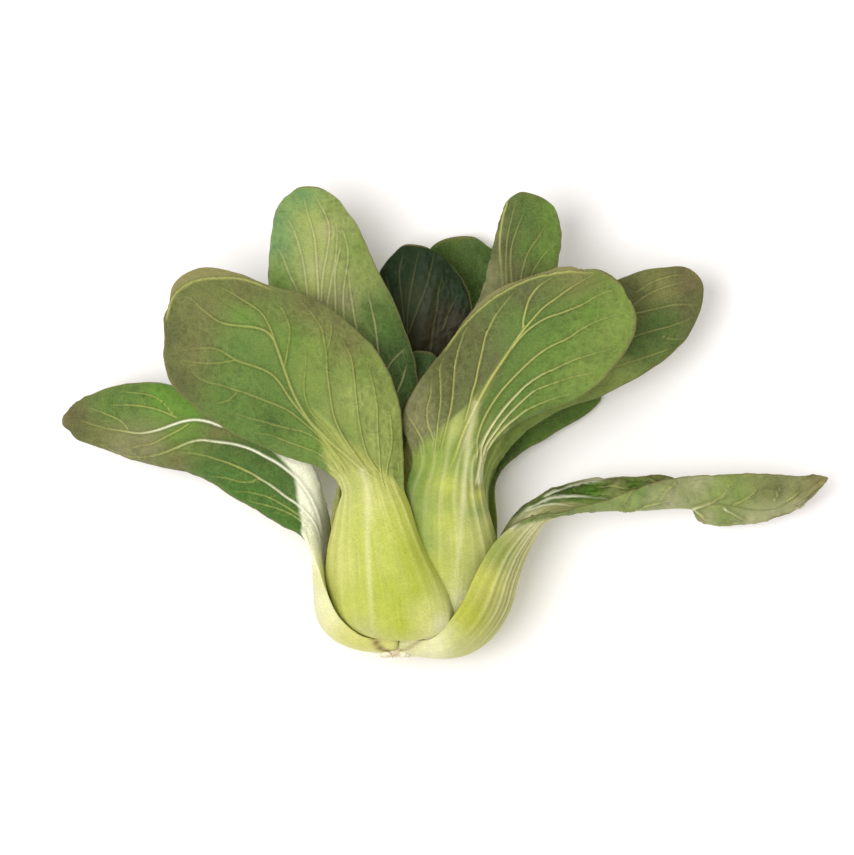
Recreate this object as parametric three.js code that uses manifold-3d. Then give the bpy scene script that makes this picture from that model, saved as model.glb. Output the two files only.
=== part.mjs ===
// A head of baby bok choy, trimmed at the root and lying on its back with its leaves fanned out.
// Millimetres, +Z up. The head's axis runs along +Y, from the cut stem to the leaf tips. The origin
// is on the surface that the head lies on, below the middle of its spread.
//
// A leaf is a sheet lofted through rows that cross it from its left margin over its middle to its
// right margin, counted from the stem to the tip. Each leaf is two solids: the pale fleshy stalk with
// the midrib that it runs out into, and the thin green blade on both sides of that rib.
import * as THREE from "three";
import { mergeVertices } from "three/addons/utils/BufferGeometryUtils.js";
import Module from "manifold-3d";

const wasm = await Module();
wasm.setup();

// Driving sizes, in millimetres
const GAP = 0.3; // clear space between neighbouring solids
const BLADE_THICK = 0.9;
const STALK_EDGE = 1.3; // thickness of a stalk at its margins
const RIB_TIP = 1.7; // thickness of a midrib where it ends
const VEIN_RISE = 0.45; // how far a side vein lifts the blade
const WAVE_RISE = 0.7; // height of the waves along a blade's margin
const STEM_AXIS = [-16.5, 25]; // x and z of the stem, which runs along Y

// Mesh counts
const RIB_COLUMNS = 3; // on each side of the middle of a stalk or midrib
const WING_COLUMNS = 3; // on each side of it

// Shape of a leaf, in rows along it and in shares of its half width across it
const RIB_START = 0.24; // half width of the midrib where the blade is full
const RIB_END = 0.05;
const VEIN_SWEEP = 1.1; // rows by which a side vein runs forward on its way to the margin
const SWEEP_SHARE = 0.18; // and at most this share of the blade's rows

const row = (left, mid, right, wrap) => ({ left, mid, right, wrap });

// Each row gives the left margin, the middle and the right margin as seen from above, and the half
// angle in degrees of the arc that joins them. neck is the row where the blade begins, ribEnd the row
// where the midrib ends, thick the stalk's greatest thickness, and waves the number of waves along
// the margin. A leaf that comes first is whole, and a later one gives way where the two meet.
const LEAVES = [
  {
    name: "front_left",
    showsBack: true,
    stalkSteps: 7, bladeSteps: 11,
    thick: 6.0, neck: 6.4, ribEnd: 11.6, waves: 3,
    rows: [
      row([-22, -73, 33], [-17, -73, 36], [-11, -73, 34], 60),
      row([-31, -73, 36], [-17, -77, 43], [-5, -74.5, 40], 70),
      row([-37, -67, 36], [-18, -73, 52], [1, -70, 43], 75),
      row([-40, -58, 37], [-19, -61, 57], [-0.5, -61, 48], 75),
      row([-40, -45, 39], [-22, -45, 58], [-9, -44.5, 49], 75),
      row([-37, -32, 43], [-25, -31, 56], [-13.5, -31, 49], 70),
      row([-35.3, -24.5, 48], [-27.5, -22, 56], [-15.3, -24, 48], 60),
      row([-43, -16.5, 51], [-31, -13, 59], [-14.5, -10, 47], 40),
      row([-60, -10, 51], [-39, -3, 62], [-15.5, 3, 48], 35),
      row([-78, -2, 51], [-48, 8, 65], [-20, 17, 51], 30),
      row([-91, 8, 53], [-56, 20, 67], [-28, 30, 54], 30),
      row([-98, 20, 55], [-64, 31, 68], [-42, 40.5, 58], 30),
      row([-98.3, 32, 56], [-76, 40, 66], [-58, 47, 60], 35),
      row([-97, 42, 55], [-92, 51.5, 57], [-78, 55, 59], 50),
    ],
  },
  {
    name: "outer_right",
    stalkSteps: 7, bladeSteps: 12,
    thick: 5.0, neck: 6.0, ribEnd: 12.5, waves: 2, ribThick: 1.9,
    rows: [
      row([-9, -75, 17], [-8, -76, 25], [-9, -75.5, 33], 70),
      row([-2, -76, 8], [3.5, -77.8, 25], [-4, -77, 42], 75),
      row([5, -71, 5], [11.5, -73, 26], [0.5, -71, 48], 80),
      row([11, -60, 5], [17.5, -64.5, 27], [6, -62.5, 51], 80),
      row([16, -48, 8], [21.5, -53.5, 28], [11.5, -51, 51], 80),
      row([21, -37, 14], [27, -42, 28], [18, -41, 47], 80),
      row([27, -30, 21], [34, -33.2, 26], [27, -34, 42], 85),
      row([38, -23.3, 27], [44, -30.4, 24], [39, -32, 39], 95),
      row([52, -19.8, 29], [55.5, -30.2, 22], [53, -28, 38], 100),
      row([66, -18.6, 28], [69, -30.7, 21], [67, -23, 37], 100),
      row([80, -19.2, 26], [82, -30, 20], [81, -20, 34], 95),
      row([91, -34.6, 12], [95, -31, 19], [95.5, -18.8, 32], 60),
      row([105, -36.4, 12], [108, -30.5, 18], [110, -17.8, 29], 50),
      row([119, -33.5, 13], [121, -29, 17], [123, -18.9, 25], 50),
      row([131, -24.5, 18], [134, -21, 19], [135, -19.2, 20], 50),
    ],
  },
  {
    name: "outer_left",
    stalkSteps: 6, bladeSteps: 12,
    thick: 5.0, neck: 5.2, ribEnd: 12.4, waves: 3,
    rows: [
      row([-24, -75.5, 33], [-26, -76, 25], [-24, -75.5, 17], 60),
      row([-30, -74.5, 42], [-33.5, -74, 24], [-30, -73, 10], 70),
      row([-37, -68.5, 45], [-39.6, -68.5, 24], [-36, -67, 9], 75),
      row([-42, -58.5, 46], [-41, -58, 25], [-39, -57.5, 9], 75),
      row([-45, -50, 44], [-41.3, -47.5, 28], [-39.8, -47, 12], 70),
      row([-50, -40.5, 40], [-43, -37, 33], [-41, -37, 19], 60),
      row([-57.5, -36.3, 32], [-45.7, -27, 37], [-44, -27, 26], 50),
      row([-66.5, -30.5, 26], [-50, -17, 39], [-49, -16, 29], 45),
      row([-77, -24.8, 22], [-60, -8, 39], [-58, -3, 28], 35),
      row([-87, -19.3, 20], [-72, -3, 37], [-72, 7, 26], 30),
      row([-97, -16, 19], [-84, 0.5, 34], [-88, 12, 26], 30),
      row([-108, -13.3, 18], [-97, -1.5, 30], [-104, 13.8, 25], 30),
      row([-119, -10.5, 16], [-111, -3, 25], [-118, 12, 22], 30),
      row([-129, -5.7, 14], [-123, -1, 19], [-128.5, 8, 18], 35),
      row([-133, -3, 14], [-135, 0.5, 15], [-132.5, 4.5, 16], 50),
    ],
  },
  {
    name: "front_right",
    showsBack: true,
    stalkSteps: 7, bladeSteps: 11,
    thick: 5.5, neck: 6.6, ribEnd: 11.6, waves: 3,
    rows: [
      row([-13, -70, 33], [-9, -70, 32], [-7, -70, 28], 60),
      row([-12, -69, 38], [0, -71, 40], [10, -67, 32], 70),
      row([-13, -62, 40], [2, -64, 45], [15, -60, 34], 75),
      row([-14, -50, 42], [3, -50, 48.5], [18.5, -50, 36], 75),
      row([-14.5, -38, 42], [2.5, -37, 50], [15.5, -38, 38], 70),
      row([-14, -26, 42], [2, -25, 50], [12.2, -25, 41], 60),
      row([-10.5, -13, 43], [3.5, -13, 51], [12.3, -13, 43], 50),
      row([-15, -1, 42], [6, -5, 53], [17, -7, 46], 40),
      row([-12, 9, 44], [10, 3.5, 56], [30, 1.5, 47], 30),
      row([-3, 23, 47], [15, 12, 59], [46, 9, 49], 30),
      row([7, 37, 50], [21, 23, 61], [58, 18, 51], 30),
      row([20, 47.5, 52], [29, 33, 62], [65.5, 29, 52], 30),
      row([36, 53.7, 53], [40, 43, 60], [66, 39, 52], 35),
      row([50, 54.5, 52], [58, 51, 53], [64, 44.5, 52], 50),
    ],
  },
  {
    name: "back_middle",
    stalkSteps: 5, bladeSteps: 8,
    thick: 5.0, neck: 4.5, ribEnd: 8.2, waves: 2,
    rows: [
      row([-21, -74, 16], [-16.5, -75, 14], [-12, -74, 16], 50),
      row([-26, -71, 9], [-16, -73.5, 6], [-6, -71, 9], 50),
      row([-28, -58, 8], [-15, -60, 5], [-2, -58, 8], 50),
      row([-25, -40, 9], [-13, -40, 5.5], [-1, -40, 9], 50),
      row([-20, -22, 10], [-10, -22, 6.5], [1, -22, 10], 45),
      row([-24, -2, 8], [-7, -4, 5.5], [12, -2, 8], 35),
      row([-25, 18, 6], [-2, 16, 4], [21, 18, 6], 30),
      row([-22, 36, 6], [2, 34, 4], [26, 36, 6], 30),
      row([-15, 51, 8], [4, 50, 5], [22, 53, 8], 35),
      row([-6, 62, 10], [4, 65.5, 8], [15, 64.5, 10], 50),
    ],
  },
  {
    name: "back_right",
    stalkSteps: 5, bladeSteps: 7,
    thick: 4.2, neck: 4.3, ribEnd: 7.2, waves: 2,
    rows: [
      row([-12, -71, 17], [-8, -72, 19], [-6, -71, 23], 50),
      row([-7, -68, 14], [2, -70, 14], [11, -67, 19], 50),
      row([-5, -50, 12], [7, -50, 12.5], [17, -50, 17], 50),
      row([-1, -35, 12], [9, -35, 13.5], [18, -36, 19], 50),
      row([3, -20, 11], [12, -20, 12], [17.5, -22, 18], 45),
      row([4, -4, 9], [18, -6, 9.5], [25, -12, 14], 30),
      row([9, 11, 6.5], [27, 5, 6], [38, -4.3, 9], 30),
      row([20, 23, 4], [38, 14, 1.9], [50, 2.7, 5.5], 35),
      row([38, 30, 3], [50, 24, 2.2], [58, 12, 4.5], 50),
    ],
  },
  {
    name: "back_left",
    stalkSteps: 5, bladeSteps: 8,
    thick: 4.2, neck: 4.2, ribEnd: 7.6, waves: 2,
    rows: [
      row([-26, -71, 23], [-24, -72, 19], [-20, -71, 17], 50),
      row([-36, -67, 19], [-30, -69, 14], [-22, -68, 14], 50),
      row([-38.5, -50, 18], [-31, -50, 13], [-20, -50, 13], 50),
      row([-39.6, -37, 20], [-32.5, -35, 13], [-22, -35, 13], 50),
      row([-37, -21, 20], [-33, -18, 13], [-24, -20, 13], 45),
      row([-44, -10, 17], [-37, -4, 11], [-24, -4, 11], 30),
      row([-58, -2, 11], [-45, 9, 7.5], [-26, 12, 8], 30),
      row([-73, 8, 7], [-56, 21, 3.4], [-36, 26, 5], 30),
      row([-84, 22, 4], [-67, 32, 1.1], [-52, 38, 3.5], 35),
      row([-85, 36, 6], [-79, 41, 4.5], [-70, 43, 5], 50),
    ],
  },
  {
    name: "tall_left",
    stalkSteps: 5, bladeSteps: 9,
    thick: 4.5, neck: 4.6, ribEnd: 8.6, waves: 2,
    rows: [
      row([-23, -69, 31], [-20, -69, 33], [-15, -69, 34], 50),
      row([-33, -64, 34], [-24, -66, 42], [-14, -64, 41], 60),
      row([-34, -48, 37], [-25, -48, 46], [-16, -48, 40], 60),
      row([-34, -30, 38], [-26, -30, 45], [-17, -30, 39], 60),
      row([-35, -14, 39], [-27, -14, 44], [-17.5, -14, 38], 50),
      row([-42, 5, 39], [-30, 3, 44], [-11.5, 0, 37], 35),
      row([-53, 23, 40], [-35, 21, 45], [-9.7, 16, 38], 30),
      row([-60.5, 41, 41], [-41, 40, 46], [-14.5, 33, 39], 30),
      row([-62, 58, 42], [-45, 58, 46], [-24, 53, 40], 30),
      row([-59.5, 72, 42], [-47, 72, 45], [-31, 69, 41], 35),
      row([-55, 79.5, 41], [-48, 82.5, 42], [-39, 79.5, 41], 50),
    ],
  },
  {
    name: "mid_right",
    stalkSteps: 5, bladeSteps: 9,
    thick: 4.5, neck: 4.3, ribEnd: 8.6, waves: 2,
    rows: [
      row([-8, -67, 28], [-8, -67, 25], [-8, -67, 22], 50),
      row([3, -61, 32], [9, -62, 29], [13, -60, 22], 60),
      row([2, -48, 34], [11, -48, 33], [15, -48, 25], 60),
      row([2, -34, 34], [10.5, -34, 34], [15, -34, 27], 60),
      row([4, -19, 33], [12, -19, 33], [15.5, -19, 28], 50),
      row([6, -2, 31], [17, -5, 32], [24, -7, 27], 35),
      row([13, 15, 32], [28, 8, 33], [38, 3, 27], 30),
      row([25, 31, 33], [42, 21, 34], [54, 9.3, 28], 30),
      row([42, 43, 33], [58, 33, 34], [71, 18.2, 28], 30),
      row([62, 50.3, 31], [75, 43, 31], [85.3, 30, 27], 35),
      row([77, 54.8, 28], [87.8, 52.3, 28], [90.7, 42.5, 26], 50),
    ],
  },
  {
    name: "upper_right",
    stalkSteps: 5, bladeSteps: 10,
    thick: 4.0, neck: 4.4, ribEnd: 8.4, waves: 2,
    rows: [
      row([-14, -66, 32], [-11, -66, 31], [-9, -66, 29], 50),
      row([-12, -59, 36], [-5, -60, 38], [2, -59, 36], 60),
      row([-12, -47, 36], [-4, -47, 41], [0.5, -47, 38], 60),
      row([-11, -30, 36], [-3, -30, 42], [1, -30, 38], 60),
      row([-8, -12, 36], [1, -12, 41], [6, -12, 38], 50),
      row([-4, 8, 36], [7, 8, 40], [17, 7, 38], 35),
      row([4, 27, 37], [14, 27, 41], [29, 25, 38], 30),
      row([12.5, 43, 38], [20, 44, 42], [36, 43, 38], 30),
      row([15.5, 58, 40], [24, 59, 43], [39.5, 58, 38], 30),
      row([19.5, 71, 40], [27, 72, 42], [40.3, 69.5, 38], 35),
      row([24, 80.3, 39], [30, 80, 40], [37.5, 76.5, 38], 50),
    ],
  },
  {
    name: "back_inner",
    stalkSteps: 5, bladeSteps: 8,
    thick: 4.0, neck: 4.5, ribEnd: 7.6, waves: 2,
    rows: [
      row([-23, -67, 24], [-21, -67, 21], [-18, -67, 19], 50),
      row([-30, -60, 26], [-24, -61, 21], [-15, -60, 20], 50),
      row([-30, -46, 26], [-22, -46, 20], [-12, -46, 20], 50),
      row([-28, -28, 26], [-20, -28, 20], [-12, -28, 20], 50),
      row([-24, -8, 26], [-17, -8, 21], [-10, -8, 21], 45),
      row([-21, 12, 25], [-15.5, 11, 22], [-8, 14, 21], 35),
      row([-22, 28, 25], [-14, 27, 22], [2, 25, 20], 30),
      row([-24.5, 42, 25], [-12.5, 41, 23], [9.3, 38, 21], 30),
      row([-23, 53, 24], [-11, 53, 23], [6, 50, 21], 35),
      row([-17, 61, 23], [-11, 62.5, 22], [-2, 59.5, 21], 50),
    ],
  },
  {
    name: "heart",
    stalkSteps: 4, bladeSteps: 6,
    thick: 3.4, neck: 3.0, ribEnd: 5.6, waves: 2,
    rows: [
      row([-18, -62, 27], [-16, -62, 28], [-13, -62, 27], 50),
      row([-20, -52, 28], [-14, -53, 30], [-9, -52, 28], 50),
      row([-18, -38, 29], [-13, -38, 31], [-8, -38, 29], 50),
      row([-18, -22, 30], [-12, -22, 32], [-6, -22, 30], 40),
      row([-21, -6, 30], [-11, -6, 32], [-1, -6, 30], 30),
      row([-19, 12, 29], [-9.5, 11, 30], [0, 12, 28], 30),
      row([-14, 24, 28], [-8, 25, 28], [-2, 23, 27], 45),
    ],
  },
];

const COLOURS = {
  stem: new THREE.Color(0.86, 0.8, 0.62),
  stalk: new THREE.Color(0.72, 0.78, 0.38),
  blade: new THREE.Color(0.28, 0.42, 0.16),
};

// The lofted sheet

const smooth = (a, b, x) => {
  const t = Math.min(1, Math.max(0, (x - a) / (b - a)));
  return t * t * (3 - 2 * t);
};

// A smooth curve through points, at the row number s, with tangents that allow for uneven spacing.
function curveThrough(points, knots) {
  const tangents = points.map((p, i) => {
    const a = Math.max(0, i - 1);
    const b = Math.min(points.length - 1, i + 1);
    const before = p.clone().sub(points[a]).divideScalar(knots[i] - knots[a] || 1);
    const after = points[b].clone().sub(p).divideScalar(knots[b] - knots[i] || 1);
    if (a === i) return after;
    if (b === i) return before;
    const share = (knots[i] - knots[a]) / (knots[b] - knots[a]);
    return before.multiplyScalar(1 - share).add(after.multiplyScalar(share));
  });
  return (s) => {
    const i = Math.min(points.length - 2, Math.max(0, Math.floor(s)));
    const span = knots[i + 1] - knots[i];
    const t = s - i;
    const u = 1 - t;
    return new THREE.Vector3()
      .addScaledVector(points[i], u * u * (1 + 2 * t))
      .addScaledVector(tangents[i], u * u * t * span)
      .addScaledVector(points[i + 1], t * t * (3 - 2 * t))
      .addScaledVector(tangents[i + 1], -t * t * u * span);
  };
}

// sheet(leaf)(s, v) is the point at row s and across share v, from -1 at the left margin to 1.
function sheet(leaf) {
  const lines = ["left", "mid", "right"].map((side) => leaf.rows.map((r) => new THREE.Vector3(...r[side])));
  const knots = [0];
  for (let i = 1; i < leaf.rows.length; i++) {
    const steps = lines.map((line) => line[i].distanceTo(line[i - 1]));
    knots.push(knots[i - 1] + (steps[0] + steps[1] + steps[2]) / 3);
  }
  const [left, mid, right] = lines.map((line) => curveThrough(line, knots));
  const last = leaf.rows.length - 1;
  return (s, v) => {
    const i = Math.min(last - 1, Math.floor(s));
    const wrap = THREE.MathUtils.degToRad(THREE.MathUtils.lerp(leaf.rows[i].wrap, leaf.rows[i + 1].wrap, s - i));
    const across = Math.sin(wrap * v) / Math.sin(wrap);
    const down = (1 - Math.cos(wrap * v)) / (1 - Math.cos(wrap));
    const [a, m, b] = [left(s), mid(s), right(s)];
    const half = b.clone().sub(a).multiplyScalar(0.5);
    const dip = a.add(b).multiplyScalar(0.5).sub(m);
    return m.addScaledVector(half, across).addScaledVector(dip, down);
  };
}

// The unit normal of a sheet, on the side that faces up where the leaf lies flat.
function normalAt(surface, s, v, last) {
  const e = 0.02;
  const along = surface(Math.min(last, s + e), v).sub(surface(Math.max(0, s - e), v));
  const across = surface(s, Math.min(1, v + e)).sub(surface(s, Math.max(-1, v - e)));
  return across.cross(along).normalize();
}

// Solids

function solidFrom(geometry) {
  geometry.deleteAttribute("normal");
  geometry.deleteAttribute("uv");
  const merged = mergeVertices(geometry, 1e-4);
  return new wasm.Manifold(
    new wasm.Mesh({
      numProp: 3,
      vertProperties: new Float32Array(merged.attributes.position.array),
      triVerts: new Uint32Array(merged.index.array),
    }),
  );
}

// The closed slab between two like grids of points, cut into triangles alike on both faces.
function slab(top, bottom) {
  const rows = top.length;
  const columns = top[0].length;
  const at = (side, i, j) => (side * rows + i) * columns + j;
  const index = [];
  const quad = (a, b, c, d) => index.push(a, b, c, a, c, d);
  for (let i = 0; i + 1 < rows; i++) {
    for (let j = 0; j + 1 < columns; j++) {
      quad(at(0, i, j), at(0, i, j + 1), at(0, i + 1, j + 1), at(0, i + 1, j));
      index.push(at(1, i, j), at(1, i + 1, j + 1), at(1, i, j + 1));
      index.push(at(1, i, j), at(1, i + 1, j), at(1, i + 1, j + 1));
    }
    quad(at(0, i, 0), at(0, i + 1, 0), at(1, i + 1, 0), at(1, i, 0));
    quad(at(0, i + 1, columns - 1), at(0, i, columns - 1), at(1, i, columns - 1), at(1, i + 1, columns - 1));
  }
  for (let j = 0; j + 1 < columns; j++) {
    quad(at(0, 0, j + 1), at(0, 0, j), at(1, 0, j), at(1, 0, j + 1));
    quad(at(0, rows - 1, j), at(0, rows - 1, j + 1), at(1, rows - 1, j + 1), at(1, rows - 1, j));
  }
  const points = [...top.flat(), ...bottom.flat()];
  const geometry = new THREE.BufferGeometry();
  geometry.setAttribute("position", new THREE.Float32BufferAttribute(points.flatMap((p) => p.toArray()), 3));
  geometry.setIndex(index);
  return solidFrom(geometry);
}

// Moves the border of a grid outwards by a distance, for a solid that is grown on all sides.
function widen(grid, distance) {
  const push = (p, q) => p.clone().addScaledVector(p.clone().sub(q).normalize(), distance);
  const wide = grid.map((line) => [push(line[0], line[1]), ...line.slice(1, -1), push(line.at(-1), line.at(-2))]);
  const first = wide[0].map((p, j) => push(p, wide[1][j]));
  const last = wide.at(-1).map((p, j) => push(p, wide.at(-2)[j]));
  return [first, ...wide.slice(1, -1), last];
}

// Half width of the stalk or midrib at row s, as a share of the leaf's half width.
function ribShare(leaf, s) {
  const blade = smooth(leaf.neck - 1, leaf.neck + 1.1, s);
  const rib = THREE.MathUtils.mapLinear(s, leaf.neck, leaf.ribEnd, RIB_START, RIB_END);
  return THREE.MathUtils.lerp(1, Math.min(RIB_START, rib), blade);
}

// Thickness of the stalk at row s, and at share w of its own half width.
function stalkThickness(leaf, s, w) {
  const rib = leaf.ribThick ?? 0.5 * leaf.thick;
  const body = THREE.MathUtils.lerp(0.7 * leaf.thick, leaf.thick, smooth(0, 1.5, s));
  const lean = THREE.MathUtils.lerp(body, rib, smooth(2.5, leaf.neck + 0.5, s));
  const mid = THREE.MathUtils.lerp(lean, RIB_TIP, smooth(leaf.neck, leaf.ribEnd, s));
  return STALK_EDGE + Math.max(0, mid - STALK_EDGE) * (1 - w * w);
}

// The rows of points where the blade meets its stalk. Each point carries its place on the leaf, the
// normal on the side that the stalk stands out to, and whether it lies on the stalk or beside it.
function leafRows(leaf) {
  const surface = sheet(leaf);
  const last = leaf.rows.length - 1;
  const start = leaf.neck - 0.6;
  const stops = [];
  for (let i = 0; i < leaf.stalkSteps; i++) stops.push({ s: (start * i) / leaf.stalkSteps, x: 0 });
  for (let i = 0; i <= leaf.bladeSteps; i++) {
    const x = i / leaf.bladeSteps;
    stops.push({ s: start + (last - start) * x, x, vein: i % 2 ? 0 : VEIN_RISE * smooth(0, 0.1, x * (1 - x)) });
  }
  const side = leaf.showsBack ? 1 : -1;
  const sweep = Math.min(VEIN_SWEEP, SWEEP_SHARE * (last - start));
  return stops.map(({ s, x, vein = 0 }) => {
    const share = ribShare(leaf, s);
    const columns = [];
    for (let j = -RIB_COLUMNS; j <= RIB_COLUMNS; j++) columns.push({ w: j / RIB_COLUMNS, t: 0 });
    for (let j = 1; j <= WING_COLUMNS; j++) {
      columns.push({ w: 1, t: j / WING_COLUMNS });
      columns.unshift({ w: -1, t: j / WING_COLUMNS });
    }
    return columns.map(({ w, t }) => {
      const v = w * share + Math.sign(w) * t * (1 - share);
      const at = s + sweep * t ** 1.5 * 4 * x * (1 - x);
      const n = normalAt(surface, at, v, last);
      const p = surface(at, v);
      const bulk = stalkThickness(leaf, s, w) - STALK_EDGE;
      const sink = leaf.showsBack ? bulk * (1 - smooth(leaf.neck - 1, leaf.neck + 1, s)) : 0;
      const wave = WAVE_RISE * t ** 2 * Math.sin(2 * Math.PI * leaf.waves * x + 2 * w) * smooth(0, 0.3, x);
      p.addScaledVector(n, vein * Math.sin(Math.PI * Math.sqrt(t)) + wave - sink);
      return { p, n: n.multiplyScalar(side), s, w };
    });
  });
}

const shifted = ({ p, n }, distance) => p.clone().addScaledVector(n, distance);

// A slab between two offsets of a grid, grown on all sides by a distance.
function layer(grid, near, far, grow, showsBack) {
  const nearFace = grid.map((line) => line.map((q) => shifted(q, near(q) - grow)));
  const farFace = grid.map((line) => line.map((q) => shifted(q, far(q) + grow)));
  const faces = showsBack ? [farFace, nearFace] : [nearFace, farFace];
  const [top, bottom] = grow ? faces.map((face) => widen(face, grow)) : faces;
  return slab(top, bottom);
}

function stalkSolid(leaf, grid, grow) {
  const start = leaf.neck - 0.6;
  const ribSteps = Math.round((leaf.bladeSteps * (leaf.ribEnd - start)) / (leaf.rows.length - 1 - start));
  const rows = grid.slice(0, leaf.stalkSteps + ribSteps + 1);
  const middle = rows.map((line) => line.slice(WING_COLUMNS, -WING_COLUMNS));
  const far = ({ s, w }) => GAP + stalkThickness(leaf, s, w);
  return layer(middle, () => GAP, far, grow, leaf.showsBack);
}

function bladeSolid(leaf, grid, grow) {
  const rows = grid.slice(leaf.stalkSteps);
  return layer(rows, () => -BLADE_THICK, () => 0, grow, leaf.showsBack);
}

// The short stem that holds the leaves, cut across at the root end.
function stemSolid(grow) {
  const profile = [
    [0, -82], [6.2, -82], [7, -81], [7.2, -79], [9.6, -77.5],
    [9.6, -74], [8, -69], [5, -63], [2, -58.5], [0, -58],
  ];
  const points = profile.map(([r, y]) => new THREE.Vector2(r ? r + grow : 0, y + (r ? 0 : Math.sign(y + 70) * grow)));
  const geometry = new THREE.LatheGeometry(points, 24);
  geometry.translate(STEM_AXIS[0], 0, STEM_AXIS[1]);
  return solidFrom(geometry);
}

// What lies below the surface that the head rests on.
function tableSolid() {
  const geometry = new THREE.BoxGeometry(400, 400, 40);
  geometry.translate(0, 0, -20);
  return solidFrom(geometry);
}

// The largest of the bodies that a cut leaves.
function largest(solid) {
  const bodies = solid.decompose();
  bodies.sort((a, b) => b.volume() - a.volume());
  return bodies[0];
}

function meshFrom(solid, name, colour, roughness) {
  const { numProp, vertProperties, triVerts, numVert } = solid.getMesh();
  const positions = new Float32Array(numVert * 3);
  for (let i = 0; i < numVert; i++) {
    positions.set(vertProperties.subarray(i * numProp, i * numProp + 3), i * 3);
  }
  const geometry = new THREE.BufferGeometry();
  geometry.setAttribute("position", new THREE.BufferAttribute(positions, 3));
  geometry.setIndex(new THREE.BufferAttribute(new Uint32Array(triVerts), 1));
  geometry.computeVertexNormals();
  const mesh = new THREE.Mesh(geometry, new THREE.MeshStandardMaterial({ color: colour, roughness, metalness: 0 }));
  mesh.name = name;
  return mesh;
}

// The head
const head = new THREE.Group();
head.name = "bok_choy";
head.add(meshFrom(stemSolid(0), "stem", COLOURS.stem, 0.7));

const taken = [stemSolid(GAP), tableSolid()];

// A solid without what it shares with the ones before it.
function fitted(solid) {
  let left = solid;
  for (const other of taken) {
    if (left.intersect(other).volume() > 0) left = left.subtract(other);
  }
  return largest(left);
}

for (const leaf of LEAVES) {
  const grid = leafRows(leaf);
  const stalk = fitted(stalkSolid(leaf, grid, 0));
  const blade = fitted(bladeSolid(leaf, grid, 0));
  head.add(meshFrom(stalk, `leaf_${leaf.name}_stalk`, COLOURS.stalk, 0.45));
  head.add(meshFrom(blade, `leaf_${leaf.name}_blade`, COLOURS.blade, 0.5));
  taken.push(stalkSolid(leaf, grid, GAP), bladeSolid(leaf, grid, GAP));
}

export default head;
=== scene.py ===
# A head of baby bok choy on a white surface, seen from straight above.
# Shapes are in millimetres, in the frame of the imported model, and each mesh is turned to metres.
import math

import bpy
import numpy as np
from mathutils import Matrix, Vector


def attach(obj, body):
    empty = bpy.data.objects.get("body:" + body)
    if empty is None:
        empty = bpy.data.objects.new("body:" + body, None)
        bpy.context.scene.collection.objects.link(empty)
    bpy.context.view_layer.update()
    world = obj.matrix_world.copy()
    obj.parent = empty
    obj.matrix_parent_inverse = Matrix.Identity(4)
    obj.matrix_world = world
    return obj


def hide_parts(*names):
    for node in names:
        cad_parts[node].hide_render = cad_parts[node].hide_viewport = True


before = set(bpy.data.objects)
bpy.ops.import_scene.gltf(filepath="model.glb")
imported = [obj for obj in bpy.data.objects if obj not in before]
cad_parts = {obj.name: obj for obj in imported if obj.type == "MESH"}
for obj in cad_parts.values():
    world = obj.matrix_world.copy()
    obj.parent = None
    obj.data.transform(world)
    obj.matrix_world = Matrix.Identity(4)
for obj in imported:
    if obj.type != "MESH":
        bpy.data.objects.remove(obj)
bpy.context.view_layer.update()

MM = 0.001
TINY = 1e-9
FAR = 1e9
STEP = 0.02 # of a row or of half the width, for directions on a sheet
LATTICE = 64

# The shape of a leaf, as in the part's source
GAP = 0.3
STALK_EDGE = 1.3 # thickness of a stalk at its margins
RIB_TIP = 1.7 # thickness of a midrib where it ends
RIB_START = 0.24 # half width of the midrib where the blade is full, as a share of the leaf's
RIB_END = 0.05
VEIN_SWEEP = 1.1 # rows by which the waves run forward on their way to the margin
WAVE_RISE = 0.7 # height of the waves along a blade's margin

# Thinner and finer than in the part's source
BLADE_THICK = 0.6
EDGE_THICK = 0.22
SMALL_WAVE = 0.35 # of its own, along the margin
NOTCH = 0.22 # in the margin's outline
TIP_ROUND = 0.45 # rows by which the corners of a leaf's tip are drawn back
STALK_LINES = 0.33 # share of a mesh's rows that the stalk has

# How far each feature stands out of a face
BROAD_RELIEF = 0.24
BLISTER_RELIEF = 0.2
CREASE_RELIEF = 0.22
SWELL_RELIEF = 0.55
RIDGE_RELIEF = 0.32
STREAK_RELIEF = 0.04
VEIN_RELIEF = 0.7
FINE_RELIEF = 0.14
INNER_VEIN = 0.22
INNER_FINE = 0.05
SKIN = 0.04
STALK_SKIN = 0.25
FLOOR_CLEAR = 0.02

# Size of the crinkles and of the mottled colour
BROAD_SIZE = 6.0
BLISTER_SIZE = 2.4
CREASE_SIZE = 1.6
MOTTLE_SIZE = 1.2

# How much each changes how light the colour is. Streaks and mottle are the leaf's own tone; the blister
# and crease terms are painted light and shade that follow the crinkles.
STREAK_TONE = 0.05
BLISTER_SHADING = 0.06
CREASE_SHADING = 0.18
MOTTLE_TONE = 0.05
VEIN_SHADE = 0.5
DARKEST = 0.004
LIGHTEST = 0.95
SPOT_CORE = 2.5 # added to the distance from a spot of colour, so that it is soft at its middle

# A turned rim: how far it reaches beyond its inner edge, how far it turns down, and the edge itself
RIM_DEPTH = 4.5
RIM_TURN = 1.3
RIM_RELIEF = 0.35
RIM_LINE = 0.32

# Width of a drawn vein, of the shade beside it and of the swelling round it
VEIN_SOFT = 0.17
VEIN_SPREAD = 0.2
SHADE_SPREAD = 2.6
SWELL_REACH = 5.5

# Side veins: distances along a vein, degrees of turn and bend, length and width
SIDE_FIRST = (3, 6)
SIDE_APART = (2.5, 6.5)
SIDE_TURN = (38, 66)
SIDE_BEND = (-22, 14)
SIDE_REACH = (3, 8)
SIDE_STEPS = 7
SIDE_WIDTH = 0.3
SIDE_TIP = 0.1

# Size of a leaf whose veins are laid out by rows and shares
ROW_LENGTH = 9.0
HALF_WIDTH = 22.0

# Each leaf's own run of random values
FIRST_SEED = 100
SEED_STEP = 10

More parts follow.
